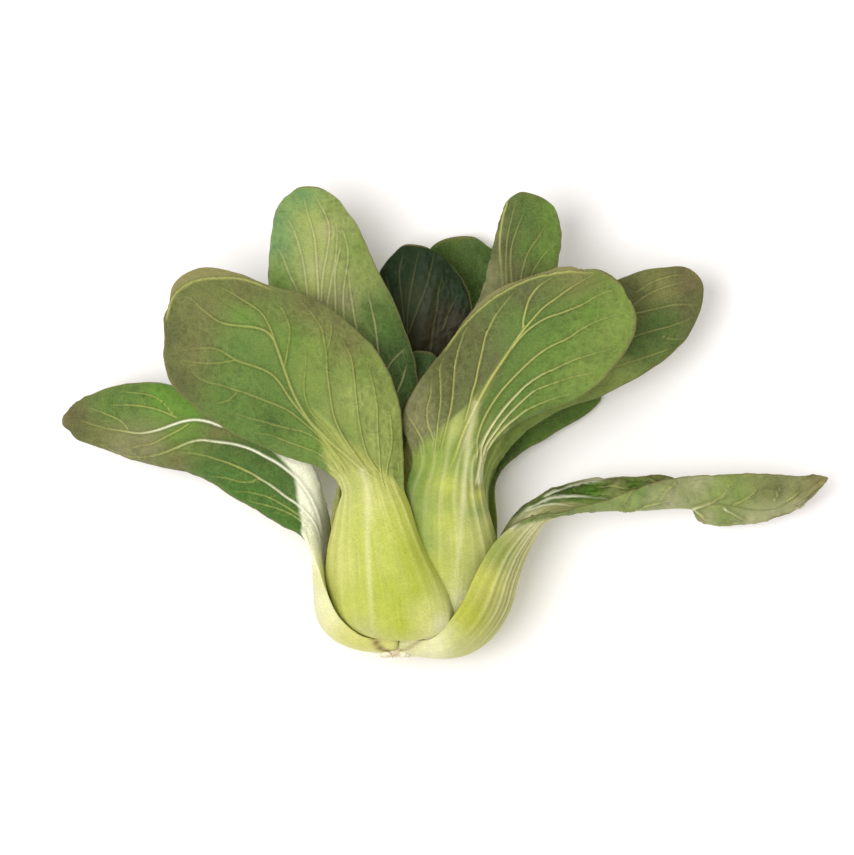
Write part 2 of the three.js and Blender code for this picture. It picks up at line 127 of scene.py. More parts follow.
# Net of the finest veins and grain: scales in cells for each metre, the warp in metres, the width of
# the net as a share of a cell
WARP_SCALE = 500.0
WARP = 0.0009
NET_SCALE = 780.0
NET_WIDTH = 0.16
NET_STRENGTH = 0.05
GRAIN_SCALE = 1900.0
STALK_ROUGH = 0.5
BLADE_ROUGH = 0.55

# The cut stem: its axis as x and z, its outline as radius and y, and its stains as place, size, strength
STEM_AXIS = (-16.5, 25.0)
STEM_TURNS = 96
STEM_PROFILE = [(0.0, -82.2), (3.0, -82.3), (5.8, -82.2), (7.1, -81.3), (6.8, -79.6), (6.8, -78.4),
                (7.8, -77.2), (8.2, -73.5), (8.0, -69.0), (5.0, -63.0), (2.0, -58.5), (0.0, -58.0)]
STEM_STAINS = [((-12, -80.6, 31), 1.5, 1.0), ((-19, -81, 31), 1.0, 0.5)]

# Floor, light and camera, in metres and watts
FLOOR_SIZE = 6
FLOOR_WHITE = (0.98, 0.97, 0.97, 1)
KEY_PLACE = (-0.6, 0.02, 1.85)
KEY_SIZE = 1.05
KEY_WATTS = 23.5
WORLD_COLOUR = (1.0, 0.95, 0.935, 1)
WORLD_STRENGTH = 0.82
PHOTO_MM_PER_PIXEL = 0.35
PHOTO_SIZE = (854, 855)
CAMERA_PLACE = (-0.0065, -0.0019, 4.0)
MIDDLE_HEIGHT = 0.04
SENSOR = 36.0

# Colours, as linear red, green and blue
LIME = (0.521, 0.55, 0.0962)
BRIGHT_LIME = (0.42, 0.464, 0.0444)
PALE_LIME = (0.596, 0.602, 0.17)
STRAW_LIME = (0.47, 0.49, 0.148)
STRAW = (0.42, 0.396, 0.148)
CREAM = (0.689, 0.688, 0.385)
IVORY = (0.85, 0.86, 0.66)
SAGE = (0.2088, 0.275, 0.0703)
PALE_SAGE = (0.2935, 0.361, 0.0962)
SAGE_LIGHT = (0.36, 0.385, 0.155)
PALE_GREEN = (0.2631, 0.344, 0.0666)
RICH_GREEN = (0.1086, 0.241, 0.0259)
MID_GREEN = (0.1472, 0.241, 0.0481)
LEAF_GREEN = (0.1196, 0.211, 0.0355)
OLIVE_GREEN = (0.1739, 0.249, 0.0518)
DEEP_GREEN = (0.058, 0.12, 0.0222)
LEAF_DARK = (0.0618, 0.116, 0.0244)
DARK_GREEN = (0.0311, 0.0456, 0.0155)
PALE_GREY = (0.4, 0.39, 0.22)
UMBER = (0.16, 0.13, 0.035)
# Painted shade, for blades that lie in shadow
PAINTED_SHADE_GREEN = (0.0322, 0.07, 0.016)
BLACK_BROWN = (0.03, 0.024, 0.01)
BLACK_GREEN = (0.0093, 0.0258, 0.00592)
OLIVE = (0.168, 0.181, 0.0562)
DARK_OLIVE = (0.139, 0.146, 0.0481)
GREY_OLIVE = (0.202, 0.202, 0.0925)
BRONZE = (0.202, 0.176, 0.074)
UNDERSIDE = (0.195, 0.267, 0.0814)
VEIN_LIME = (0.386, 0.413, 0.104)
VEIN_OLIVE = (0.37, 0.378, 0.118)
VEIN_BROWN = (0.54, 0.54, 0.25)
VEIN_DARK = (0.118, 0.129, 0.0444)
SEA_GREEN = (0.135, 0.25, 0.085)
MOSS = (0.055, 0.141, 0.021)
GREY_SAGE = (0.26, 0.3, 0.13)
FIELD_GREEN = (0.0902, 0.168, 0.031)
BRONZE_DARK = (0.12, 0.105, 0.045)
SHADE_OLIVE = (0.095, 0.105, 0.036)
TAN = (0.521, 0.387, 0.178)
BROWN = (0.134, 0.0602, 0.0185)
EDGE_BRONZE = (0.1515, 0.132, 0.0555)
RIM_BRONZE = (0.2727, 0.2376, 0.0999)
RIM_LIME = (0.4768, 0.4816, 0.136)

# Rows across each leaf, from the stem to its tip: left margin, middle, right margin, and the half angle
# in degrees of the arc that joins them. They are the part's own, but for the foot of three leaves,
# which lies closer to the stem.
ROWS = {
    "front_left": [
        ((-22, -71.5, 33), (-17, -71, 36), (-11, -71, 34), 60),
        ((-31, -72, 36), (-17, -74.8, 43), (-5, -73, 40), 70),
        ((-37, -67, 36), (-18, -71.5, 52), (1, -69.5, 43), 75),
        ((-40, -58, 37), (-19, -61, 57), (-0.5, -61, 48), 75),
        ((-40, -45, 39), (-22, -45, 58), (-9, -44.5, 49), 75),
        ((-37, -32, 43), (-25, -31, 56), (-13.5, -31, 49), 70),
        ((-35.3, -24.5, 48), (-27.5, -22, 56), (-15.3, -24, 48), 60),
        ((-43, -16.5, 51), (-31, -13, 59), (-14.5, -10, 47), 40),
        ((-60, -10, 51), (-39, -3, 62), (-15.5, 3, 48), 35),
        ((-78, -2, 51), (-48, 8, 65), (-20, 17, 51), 30),
        ((-91, 8, 53), (-56, 20, 67), (-28, 30, 54), 30),
        ((-98, 20, 55), (-64, 31, 68), (-42, 40.5, 58), 30),
        ((-98.3, 32, 56), (-76, 40, 66), (-58, 47, 60), 35),
        ((-97, 42, 55), (-92, 51.5, 57), (-78, 55, 59), 50),
    ],
    "outer_right": [
        ((-15.8, -75.5, 17), (-15.5, -78.3, 25), (-15.8, -75.3, 34), 70),
        ((-2, -76, 8), (3.5, -77.8, 25), (-4.5, -75.4, 43), 75),
        ((5, -71, 5), (11.5, -73, 26), (1, -69.8, 48), 80),
        ((11, -60, 5), (17.5, -64.5, 27), (6, -62.5, 51), 80),
        ((16, -48, 8), (21.5, -53.5, 28), (11.5, -51, 51), 80),
        ((21, -37, 14), (27, -42, 28), (18, -41, 47), 80),
        ((27, -30, 21), (34, -33.2, 26), (27, -34, 42), 85),
        ((38, -23.3, 27), (44, -30.4, 24), (39, -32, 39), 95),
        ((52, -19.8, 29), (55.5, -30.2, 22), (53, -28, 38), 100),
        ((66, -18.6, 28), (69, -30.7, 21), (67, -23, 37), 100),
        ((80, -19.2, 26), (82, -30, 20), (81, -20, 34), 95),
        ((91, -34.6, 12), (95, -31, 19), (95.5, -18.8, 32), 60),
        ((105, -36.4, 12), (108, -30.5, 18), (110, -17.8, 29), 50),
        ((119, -33.5, 13), (121, -29, 17), (123, -18.9, 25), 50),
        ((131, -24.5, 18), (134, -21, 19), (135, -19.2, 20), 50),
    ],
    "outer_left": [
        ((-16.8, -75.3, 34), (-17.2, -78.3, 25), (-16.8, -75.5, 17), 60),
        ((-30, -74.5, 42), (-33.5, -74, 24), (-30, -73, 10), 70),
        ((-37, -68.5, 45), (-39.6, -68.5, 24), (-36, -67, 9), 75),
        ((-42, -58.5, 46), (-41, -58, 25), (-39, -57.5, 9), 75),
        ((-45, -50, 44), (-41.3, -47.5, 28), (-39.8, -47, 12), 70),
        ((-50, -40.5, 40), (-43, -37, 33), (-41, -37, 19), 60),
        ((-57.5, -36.3, 32), (-45.7, -27, 37), (-44, -27, 26), 50),
        ((-66.5, -30.5, 26), (-50, -17, 39), (-49, -16, 29), 45),
        ((-77, -24.8, 22), (-60, -8, 39), (-58, -3, 28), 35),
        ((-87, -19.3, 20), (-72, -3, 37), (-72, 7, 26), 30),
        ((-97, -16, 19), (-84, 0.5, 34), (-88, 12, 26), 30),
        ((-108, -13.3, 18), (-97, -1.5, 30), (-104, 13.8, 25), 30),
        ((-119, -10.5, 16), (-111, -3, 25), (-118, 12, 22), 30),
        ((-129, -5.7, 14), (-123, -1, 19), (-128.5, 8, 18), 35),
        ((-133, -3, 14), (-135, 0.5, 15), (-132.5, 4.5, 16), 50),
    ],
    "front_right": [
        ((-13, -70, 33), (-9, -70, 32), (-7, -70, 28), 60),
        ((-12, -69, 38), (0, -71, 40), (10, -67, 32), 70),
        ((-13, -62, 40), (2, -64, 45), (15, -60, 34), 75),
        ((-14, -50, 42), (3, -50, 48.5), (18.5, -50, 36), 75),
        ((-14.5, -38, 42), (2.5, -37, 50), (15.5, -38, 38), 70),
        ((-14, -26, 42), (2, -25, 50), (12.2, -25, 41), 60),
        ((-10.5, -13, 43), (3.5, -13, 51), (12.3, -13, 43), 50),
        ((-15, -1, 42), (6, -5, 53), (17, -7, 46), 40),
        ((-12, 9, 44), (10, 3.5, 56), (30, 1.5, 47), 30),
        ((-3, 23, 47), (15, 12, 59), (46, 9, 49), 30),
        ((7, 37, 50), (21, 23, 61), (58, 18, 51), 30),
        ((20, 47.5, 52), (29, 33, 62), (65.5, 29, 52), 30),
        ((36, 53.7, 53), (40, 43, 60), (66, 39, 52), 35),
        ((50, 54.5, 52), (58, 51, 53), (64, 44.5, 52), 50),
    ],
    "back_middle": [
        ((-21, -74, 16), (-16.5, -75, 14), (-12, -74, 16), 50),
        ((-26, -71, 9), (-16, -73.5, 6), (-6, -71, 9), 50),
        ((-28, -58, 8), (-15, -60, 5), (-2, -58, 8), 50),
        ((-25, -40, 9), (-13, -40, 5.5), (-1, -40, 9), 50),
        ((-20, -22, 10), (-10, -22, 6.5), (1, -22, 10), 45),
        ((-24, -2, 8), (-7, -4, 5.5), (12, -2, 8), 35),
        ((-25, 18, 6), (-2, 16, 4), (21, 18, 6), 30),
        ((-22, 36, 6), (2, 34, 4), (26, 36, 6), 30),
        ((-15, 51, 8), (4, 50, 5), (22, 53, 8), 35),
        ((-6, 62, 10), (4, 65.5, 8), (15, 64.5, 10), 50),
    ],
    "back_right": [
        ((-12, -71, 17), (-8, -72, 19), (-6, -71, 23), 50),
        ((-7, -68, 14), (2, -70, 14), (11, -67, 19), 50),
        ((-5, -50, 12), (7, -50, 12.5), (17, -50, 17), 50),
        ((-1, -35, 12), (9, -35, 13.5), (18, -36, 19), 50),
        ((3, -20, 11), (12, -20, 12), (17.5, -22, 18), 45),
        ((4, -4, 9), (18, -6, 9.5), (25, -12, 14), 30),
        ((9, 11, 6.5), (27, 5, 6), (38, -4.3, 9), 30),
        ((20, 23, 4), (38, 14, 1.9), (50, 2.7, 5.5), 35),
        ((38, 30, 3), (50, 24, 2.2), (58, 12, 4.5), 50),
    ],
    "back_left": [
        ((-26, -71, 23), (-24, -72, 19), (-20, -71, 17), 50),
        ((-36, -67, 19), (-30, -69, 14), (-22, -68, 14), 50),
        ((-38.5, -50, 18), (-31, -50, 13), (-20, -50, 13), 50),
        ((-39.6, -37, 20), (-32.5, -35, 13), (-22, -35, 13), 50),
        ((-37, -21, 20), (-33, -18, 13), (-24, -20, 13), 45),
        ((-44, -10, 17), (-37, -4, 11), (-24, -4, 11), 30),
        ((-58, -2, 11), (-45, 9, 7.5), (-26, 12, 8), 30),
        ((-73, 8, 7), (-56, 21, 3.4), (-36, 26, 5), 30),
        ((-84, 22, 4), (-67, 32, 1.1), (-52, 38, 3.5), 35),
        ((-85, 36, 6), (-79, 41, 4.5), (-70, 43, 5), 50),
    ],
    "tall_left": [
        ((-23, -69, 31), (-20, -69, 33), (-15, -69, 34), 50),
        ((-33, -64, 34), (-24, -66, 42), (-14, -64, 41), 60),
        ((-34, -48, 37), (-25, -48, 46), (-16, -48, 40), 60),
        ((-34, -30, 38), (-26, -30, 45), (-17, -30, 39), 60),
        ((-35, -14, 39), (-27, -14, 44), (-17.5, -14, 38), 50),
        ((-42, 5, 39), (-30, 3, 44), (-11.5, 0, 37), 35),
        ((-53, 23, 40), (-35, 21, 45), (-9.7, 16, 38), 30),
        ((-60.5, 41, 41), (-41, 40, 46), (-14.5, 33, 39), 30),
        ((-62, 58, 42), (-45, 58, 46), (-24, 53, 40), 30),
        ((-59.5, 72, 42), (-47, 72, 45), (-31, 69, 41), 35),
        ((-55, 79.5, 41), (-48, 82.5, 42), (-39, 79.5, 41), 50),
    ],
    "mid_right": [
        ((-8, -67, 28), (-8, -67, 25), (-8, -67, 22), 50),
        ((3, -61, 32), (9, -62, 29), (13, -60, 22), 60),
        ((2, -48, 34), (11, -48, 33), (15, -48, 25), 60),
        ((2, -34, 34), (10.5, -34, 34), (15, -34, 27), 60),
        ((4, -19, 33), (12, -19, 33), (15.5, -19, 28), 50),
        ((6, -2, 31), (17, -5, 32), (24, -7, 27), 35),
        ((13, 15, 32), (28, 8, 33), (38, 3, 27), 30),
        ((25, 31, 33), (42, 21, 34), (54, 9.3, 28), 30),
        ((42, 43, 33), (58, 33, 34), (71, 18.2, 28), 30),
        ((62, 50.3, 31), (75, 43, 31), (85.3, 30, 27), 35),
        ((77, 54.8, 28), (87.8, 52.3, 28), (90.7, 42.5, 26), 50),
    ],
    "upper_right": [
        ((-14, -66, 32), (-11, -66, 31), (-9, -66, 29), 50),
        ((-12, -59, 36), (-5, -60, 38), (2, -59, 36), 60),
        ((-12, -47, 36), (-4, -47, 41), (0.5, -47, 38), 60),
        ((-11, -30, 36), (-3, -30, 42), (1, -30, 38), 60),
        ((-8, -12, 36), (1, -12, 41), (6, -12, 38), 50),
        ((-4, 8, 36), (7, 8, 40), (17, 7, 38), 35),
        ((4, 27, 37), (14, 27, 41), (29, 25, 38), 30),
        ((12.5, 43, 38), (20, 44, 42), (36, 43, 38), 30),
        ((15.5, 58, 40), (24, 59, 43), (39.5, 58, 38), 30),
        ((19.5, 71, 40), (27, 72, 42), (40.3, 69.5, 38), 35),
        ((24, 80.3, 39), (30, 80, 40), (37.5, 76.5, 38), 50),
    ],
    "back_inner": [
        ((-23, -67, 24), (-21, -67, 21), (-18, -67, 19), 50),
        ((-30, -60, 26), (-24, -61, 21), (-15, -60, 20), 50),
        ((-30, -46, 26), (-22, -46, 20), (-12, -46, 20), 50),
        ((-28, -28, 26), (-20, -28, 20), (-12, -28, 20), 50),
        ((-24, -8, 26), (-17, -8, 21), (-10, -8, 21), 45),
        ((-21, 12, 25), (-15.5, 11, 22), (-8, 14, 21), 35),
        ((-22, 28, 25), (-14, 27, 22), (2, 25, 20), 30),
        ((-24.5, 42, 25), (-12.5, 41, 23), (9.3, 38, 21), 30),
        ((-23, 53, 24), (-11, 53, 23), (6, 50, 21), 35),
        ((-17, 61, 23), (-11, 62.5, 22), (-2, 59.5, 21), 50),
    ],
    "heart": [
        ((-18, -62, 27), (-16, -62, 28), (-13, -62, 27), 50),
        ((-20, -52, 28), (-14, -53, 30), (-9, -52, 28), 50),
        ((-18, -38, 29), (-13, -38, 31), (-8, -38, 29), 50),
        ((-18, -22, 30), (-12, -22, 32), (-6, -22, 30), 40),
        ((-21, -6, 30), (-11, -6, 32), (-1, -6, 30), 30),
        ((-19, 12, 29), (-9.5, 11, 30), (0, 12, 28), 30),
        ((-14, 24, 28), (-8, 25, 28), (-2, 23, 27), 45),
    ],
}

# Drawn veins: width at the start and at the end, and the route as x and y
VEINS = {
    "front_left": [
        (1.5, 0.6, [(-24.5, -20), (-31.5, -14), (-39, -8), (-43, -4), (-47.5, 0.5), (-51, 6), (-53.5, 11),
            (-55.5, 16.5), (-57.5, 22.5), (-59, 27), (-60.5, 30), (-63, 32), (-66.5, 33), (-72, 33.5),
            (-76.5, 34), (-80, 35.5), (-82.5, 37.5), (-84.5, 39), (-89, 43.5), (-92, 43.5)]),
        (0.7, 0.3, [(-59, 27.5), (-61.5, 34), (-64, 38), (-67.5, 40.5), (-71, 42.5), (-74.5, 45),
            (-79, 47.5)]),
        (0.6, 0.25, [(-56, 19), (-54.5, 28), (-54, 32), (-55.5, 36.5), (-57, 39.5), (-59.5, 41.5)]),
        (1.1, 0.4, [(-33.5, -17.5), (-37, -12.5), (-42, -6), (-47.5, 0), (-54.5, 8.5), (-58, 14.5),
            (-61.5, 17.5), (-66.5, 19.5), (-73, 21.5), (-78, 25), (-82.5, 26), (-87, 25.5), (-92, 25)]),
        (0.45, 0.2, [(-73, 21.5), (-79, 20.5), (-84, 20.5), (-92, 21.5)]),
        (0.7, 0.25, [(-36, -15), (-42, -6.5), (-51, 1.5), (-56, 5), (-64, 8), (-70, 10.5), (-73.5, 11.5),
            (-78, 13), (-83.5, 14), (-87.5, 16.5), (-89, 19.5)]),
        (0.4, 0.2, [(-72.5, 10.5), (-75.5, 7.5), (-80, 6.5)]),
        (0.5, 0.2, [(-35, -17.5), (-39, -10.5), (-47.5, -3.5), (-55.5, -2), (-62.5, 0), (-68.5, 1.5),
            (-73.5, 3)]),
        (0.4, 0.2, [(-37, -17.5), (-42, -11.5), (-51, -8), (-59.5, -5), (-66.5, -3.5)]),
        (0.7, 0.3, [(-27.5, -17), (-34.5, -7.5), (-38, -1), (-39.5, 4), (-40.5, 11), (-41.5, 18),
            (-41.5, 23.5), (-42.5, 28), (-43, 32), (-45, 35.5), (-47.5, 39), (-51, 42.5)]),
        (0.35, 0.2, [(-41.5, 24.5), (-40, 30.5), (-40, 35)]),
        (0.65, 0.25, [(-23, -18.5), (-27.5, -12.5), (-29, -6.5), (-30.5, 0.5), (-31.5, 9.5), (-32, 16.5),
            (-33, 22.5), (-34.5, 26), (-37, 31.5)]),
        (0.55, 0.2, [(-22, -24), (-23.5, -18.5), (-23.5, -11.5), (-24, -1), (-24, 4), (-25, 11),
            (-26, 16.5), (-27.5, 21.5)]),
        (0.4, 0.2, [(-21.5, -18.5), (-20.5, -13.5), (-19, -8), (-19, -1), (-19.5, 3.5)]),
        (0.5, 0.2, [(-36, -9), (-42, -1), (-46.5, 2.5), (-48.5, 7), (-49.5, 11), (-49, 17.5),
            (-48.5, 21.5), (-49, 28)]),
    ],
    "front_right": [
        (1.9, 0.9, [(2, -16), (3.5, -11.5), (6, -4.5), (9, 2.5), (12.5, 9.5), (16.5, 16.5), (21, 23),
            (24.5, 28.5), (27, 32.5)]),
        (0.9, 0.3, [(27, 32.5), (27, 35.5), (28, 39), (29, 42.5), (31.5, 46), (34, 48.5), (37, 50.5)]),
        (0.9, 0.3, [(24.5, 28.5), (27, 32), (30.5, 36), (34, 40), (38.5, 43), (42.5, 46), (46.5, 48.5),
            (51.5, 51.5)]),
        (0.8, 0.35, [(23, 25.5), (25, 28.5), (28.5, 32), (32, 34.5), (35.5, 36.5), (40.5, 38), (45.5, 40),
            (49, 41.5), (52.5, 44), (58, 46)]),
        (0.9, 0.35, [(8.3, -22), (9.2, -15), (10.5, -9), (11, -4.5), (14, 3), (18.5, 10), (23.5, 15.5),
            (28, 20), (32.5, 24), (37.5, 27), (42.5, 29), (46.5, 32), (51, 34.5), (55, 36), (59.5, 37.5)]),
        (0.9, 0.3, [(9.3, -22), (10.2, -16), (11.3, -11), (12.5, -6.5), (16, -1), (20, 4.5), (24.5, 9.5),
            (28.5, 13.5), (34, 17), (39, 19), (44, 21.5), (49, 23), (54.5, 24.5), (58.5, 25.5)]),
        (0.7, 0.25, [(10, -22), (11, -16), (12, -11), (13.5, -7.5), (17.5, -2.5), (21.5, 2.5), (25.5, 6.5),
            (30.5, 11), (35.5, 13), (40.5, 14.5), (45.5, 16), (51, 17)]),
        (0.6, 0.25, [(10.8, -22), (11.6, -15.5), (13.6, -8.5), (18.5, -3), (23.5, 1), (28, 4.5),
            (32.5, 6.5), (37.5, 8), (43, 9.5)]),
        (0.5, 0.2, [(11.2, -20), (12, -13.5), (14.2, -9.5), (18.5, -6), (23.5, -2.5), (28, 0.5), (33.5, 3),
            (38.5, 4)]),
        (0.9, 0.3, [(7, 0.5), (8.5, 6), (9.5, 11), (10.5, 13.5), (11.5, 19), (13, 25), (14, 30), (16, 34),
            (18, 38), (21, 41.5), (23.5, 45)]),
        (0.75, 0.25, [(-1, -10), (0, -5), (1, 0.5), (2.5, 6.5), (3, 13.5), (3.5, 20), (4.5, 25), (6, 30),
            (7.5, 33)]),
        (0.65, 0.25, [(-3, -10), (-2.5, -6), (-2.5, -1), (-1.5, 6.5), (-1.5, 13), (-2, 18.5), (-1, 22)]),
        (0.55, 0.2, [(-3.5, -6.5), (-4.5, -4), (-6, -0.5), (-6.5, 5), (-5, 9.5), (-5, 15)]),
        (0.5, 0.2, [(-6.5, -11.5), (-7, -7.5), (-8.5, -4), (-11, -0.5), (-13.5, 3)]),
    ],
    "outer_right": [
        (2.6, 0.9, [(22, -38), (27.8, -30.9), (35, -27), (42.9, -25.7), (49.3, -25.9), (57, -26.9)]),
        (1.9, 0.5, [(27.8, -31.5), (35, -28.9), (40.6, -28.9), (46, -30)]),
        (1.5, 0.6, [(34.2, -26.2), (42.9, -22.3), (52.5, -20), (62, -18.9), (70, -18.8)]),
        (0.5, 0.25, [(53.3, -21.7), (58.9, -22.5), (65.2, -23.3)]),
        (0.6, 0.3, [(70.8, -19.3), (75.5, -21.1)]),
        (0.7, 0.3, [(61.2, -32.9), (66.8, -30.1), (73.2, -28.5), (80, -27.2)]),
        (0.9, 0.3, [(86.7, -30.3), (92.2, -28.9), (97, -26.1), (99.4, -21.7)]),
        (0.6, 0.3, [(101, -29.3), (106.2, -26.5), (110, -22.5)]),
        (0.5, 0.25, [(115.3, -27.7), (117.7, -23.3)]),
        (0.5, 0.25, [(120.1, -27.7), (124.8, -24.1)]),
        (0.9, 0.4, [(87.5, -30.5), (93, -34.8)]),
        (0.9, 0.4, [(97.8, -30.1), (102.6, -32.9), (106.6, -35.2)]),
        (0.5, 0.25, [(68, -22), (64, -25), (62, -29)]),
        (0.5, 0.25, [(81, -21), (77, -24), (75, -28)]),
    ],
    "outer_left": [
        (1.7, 0.4, [(-51, -14), (-56, -11.5), (-62, -7.5), (-70, -4), (-75, -2), (-80, -1), (-82, 0),
            (-87, 1), (-91.5, 0.5), (-96, -1), (-100, -2.5), (-104, -3.5), (-108, -4), (-113.5, -3),
            (-118, -2.5), (-123.5, -1), (-128, 0.5)]),
        (0.5, 0.25, [(-90, -0.5), (-93, -2.5), (-98, -5), (-103, -7.5), (-109.5, -8.5)]),
        (0.45, 0.2, [(-94, 1.5), (-99.5, 4), (-105.5, 5.5), (-111, 6), (-117, 6)]),
        (0.3, 0.15, [(-95.5, 2.5), (-98.5, 6.5), (-102, 9), (-107, 10), (-113.5, 10.5)]),
        (0.35, 0.15, [(-111.5, -2.5), (-113.5, 0.5), (-118, 2.5), (-124.5, 5)]),
        (1.6, 0.35, [(-43.3, -40), (-44.5, -33), (-47, -26.5), (-51, -20.5), (-55, -17), (-59, -14),
            (-63, -12), (-66.5, -10), (-70.5, -8.5), (-74.5, -7.5), (-78.5, -7), (-82, -6.5), (-86, -6),
            (-90, -7), (-94, -8.5), (-98, -10), (-102.5, -11.5), (-108, -12), (-113.5, -11),
            (-121, -7.5)]),
        (1.2, 0.3, [(-43.8, -43), (-44.8, -38), (-47, -33.5), (-52, -28.5), (-56, -26), (-60.5, -22.5),
            (-64.5, -20), (-67.5, -18), (-71.5, -16), (-76, -14), (-82, -12), (-88.5, -10.5), (-93, -10)]),
        (0.35, 0.15, [(-65.5, -19.5), (-67, -20.5), (-69, -21), (-73, -20.5), (-77.5, -19), (-83, -18.5)]),
        (0.4, 0.15, [(-47.5, -35.5), (-52.5, -31.5), (-57.5, -28.5), (-62, -26), (-68, -24.5),
            (-73.5, -24)]),
        (0.35, 0.15, [(-48, -37), (-53, -32.5), (-59, -30), (-64.5, -28.5), (-69, -27.5)]),
    ],
    "tall_left": [
        (0.8, 0.3, [(-44, 36.5), (-44.5, 40.5), (-44.5, 46.5), (-45, 54.5), (-45.5, 62.5), (-46.5, 67.5),
            (-48.5, 73.5), (-49.5, 78.5)]),
        (0.6, 0.25, [(-43.5, 41.5), (-43, 51.5), (-41.5, 58.5), (-40.5, 66.5), (-41.5, 71.5), (-44, 76),
            (-46, 79.5)]),
        (0.5, 0.2, [(-48, 41.5), (-49, 51.5), (-50, 57.5), (-52, 64.5), (-54, 69.5), (-55.5, 71.5)]),
        (0.45, 0.2, [(-51.5, 45.5), (-55, 52.5), (-56.5, 57.5), (-59, 61.5)]),
        (0.5, 0.2, [(-41.5, 40.5), (-40, 49.5), (-38.5, 56.5), (-38, 64.5), (-38.5, 69.5)]),
        (0.6, 0.25, [(-38.5, 37.5), (-38.5, 44.5), (-39, 51.5), (-37.5, 58.5), (-36.5, 62.5)]),
        (0.55, 0.2, [(-35.5, 34.5), (-36, 44.5), (-35, 51.5), (-34, 58.5), (-35, 64.5), (-37.5, 69.5)]),
        (0.45, 0.2, [(-31, 31.5), (-32.5, 39.5), (-33.5, 46.5), (-34, 52.5)]),
        (0.4, 0.2, [(-23.5, 22.5), (-24.5, 32.5), (-26, 39.5), (-27.5, 45.5)]),
        (0.35, 0.2, [(-21, 17.5), (-19, 21.5), (-14.5, 25.5)]),
        (0.35, 0.2, [(-17, 10.5), (-15, 15.5), (-14, 19.5)]),
    ],
    "back_inner": [
        (0.5, 0.2, [(-13.5, 28.5), (-13.5, 36.5), (-12.5, 44.5), (-11, 52.5), (-9.5, 59.5)]),
        (0.5, 0.2, [(-13, 31), (-10, 39.5), (-7, 46.5), (-5, 54.5), (-4, 59.5)]),
        (0.45, 0.2, [(-5.5, 22.5), (-4.5, 32.5), (-3, 39.5), (-2.5, 46.5), (-1, 51.5)]),
        (0.4, 0.2, [(-14.5, 34.5), (-15.5, 44.5), (-16.5, 52.5), (-15, 58.5)]),
        (0.35, 0.15, [(-18, 39.5), (-20, 46.5), (-21, 52.5)]),
        (0.3, 0.15, [(-1, 32.5), (1.5, 39.5), (4, 44.5)]),
    ],
    "back_middle": [
        (0.45, 0.2, [(11, 38.5), (8.5, 46.5), (5.5, 53.5), (4, 59.5)]),
        (0.4, 0.2, [(14, 38.5), (12, 47.5), (9.5, 52.5), (10.5, 57.5)]),
        (0.35, 0.2, [(5, 44.5), (2, 54.5), (-1, 60.5)]),
    ],
    "upper_right": [
        (0.5, 0.2, [(24, 42.5), (23, 49.5), (22.5, 59.5), (24.5, 66.5), (27.5, 73.5)]),
        (0.45, 0.2, [(25.5, 44.5), (26.5, 52.5), (28.5, 59.5), (33, 65.5), (35, 69.5)]),
        (0.4, 0.2, [(28, 44.5), (30, 52.5), (34, 58.5), (38, 62.5)]),
        (0.35, 0.2, [(21.5, 46.5), (21, 54.5), (21.5, 64.5), (23.5, 72.5), (25, 77.5)]),
    ],
    "mid_right": [
        (0.6, 0.25, [(62, 37.5), (65.5, 40.5), (70, 44.5), (77, 47.5), (85, 49.5)]),
        (0.5, 0.2, [(64, 37.5), (75, 40), (81, 41.5), (88.5, 41)]),
        (0.5, 0.2, [(62, 28.5), (67, 30.5), (74, 32.5), (80, 34), (86, 36.5)]),
        (0.45, 0.2, [(59, 19.5), (66, 21.5), (75, 24.5), (80, 26.5)]),
        (0.35, 0.2, [(75, 30.5), (79, 29), (84, 29.5)]),
        (0.4, 0.2, [(67, 45.5), (73, 49.5), (80, 51.5), (85, 51.5)]),
    ],
}

# What a leaf has where it has nothing of its own.
# shows_back: the outer face is up. thick: of the stalk. neck, rib_end: rows where the blade begins and
# where the midrib ends. waves: along each margin. lines: rows and columns of the mesh, of which the
# face that doesn't show has one in so many, coarse.
# ribs: shares of the width where the stalk has a ridge, and how strong. rib_from: the row that they
# rise from. rib_wide: in shares. The furrow keys: painted shade in the furrows between the ridges,
# how dark it is, its centre and its spread, and the colour of that shade.
# pale: rows, with the shares to the left and right between which the green hasn't begun. pale_end: how
# much of that paleness is left towards the tip. soften: how soft its borders are.
# pucker: how strongly it crinkles. net: how much of the finest net shows. rim: inner edge of a rim.
# shown_outside: how much the outer face has of the inner face's colour. other: colour of the blade's
# other face. stalk_spots, blade_spots: places by their colour. marks: colour, strength, width, route.
PLAIN_LEAF = dict(
    shows_back=False, waves=2, coarse=3, ribs=((-0.6, 0.7), (-0.3, 0.7), (0.0, 0.9), (0.3, 0.7), (0.6, 0.7)),
    rib_from=2.0, rib_wide=0.05, furrow_shade=(0.25, 0.0, 2.0), furrow_shade_colour=MID_GREEN, pale_end=0.25,
    soften=0.13, pucker=1.0, net=1.0, rim=(), marks=(), shown_outside=0.0, other=UNDERSIDE,
    vein=PALE_GREEN, thin_vein=PALE_GREEN, vein_strength=0.35, fine_strength=0.1,
)

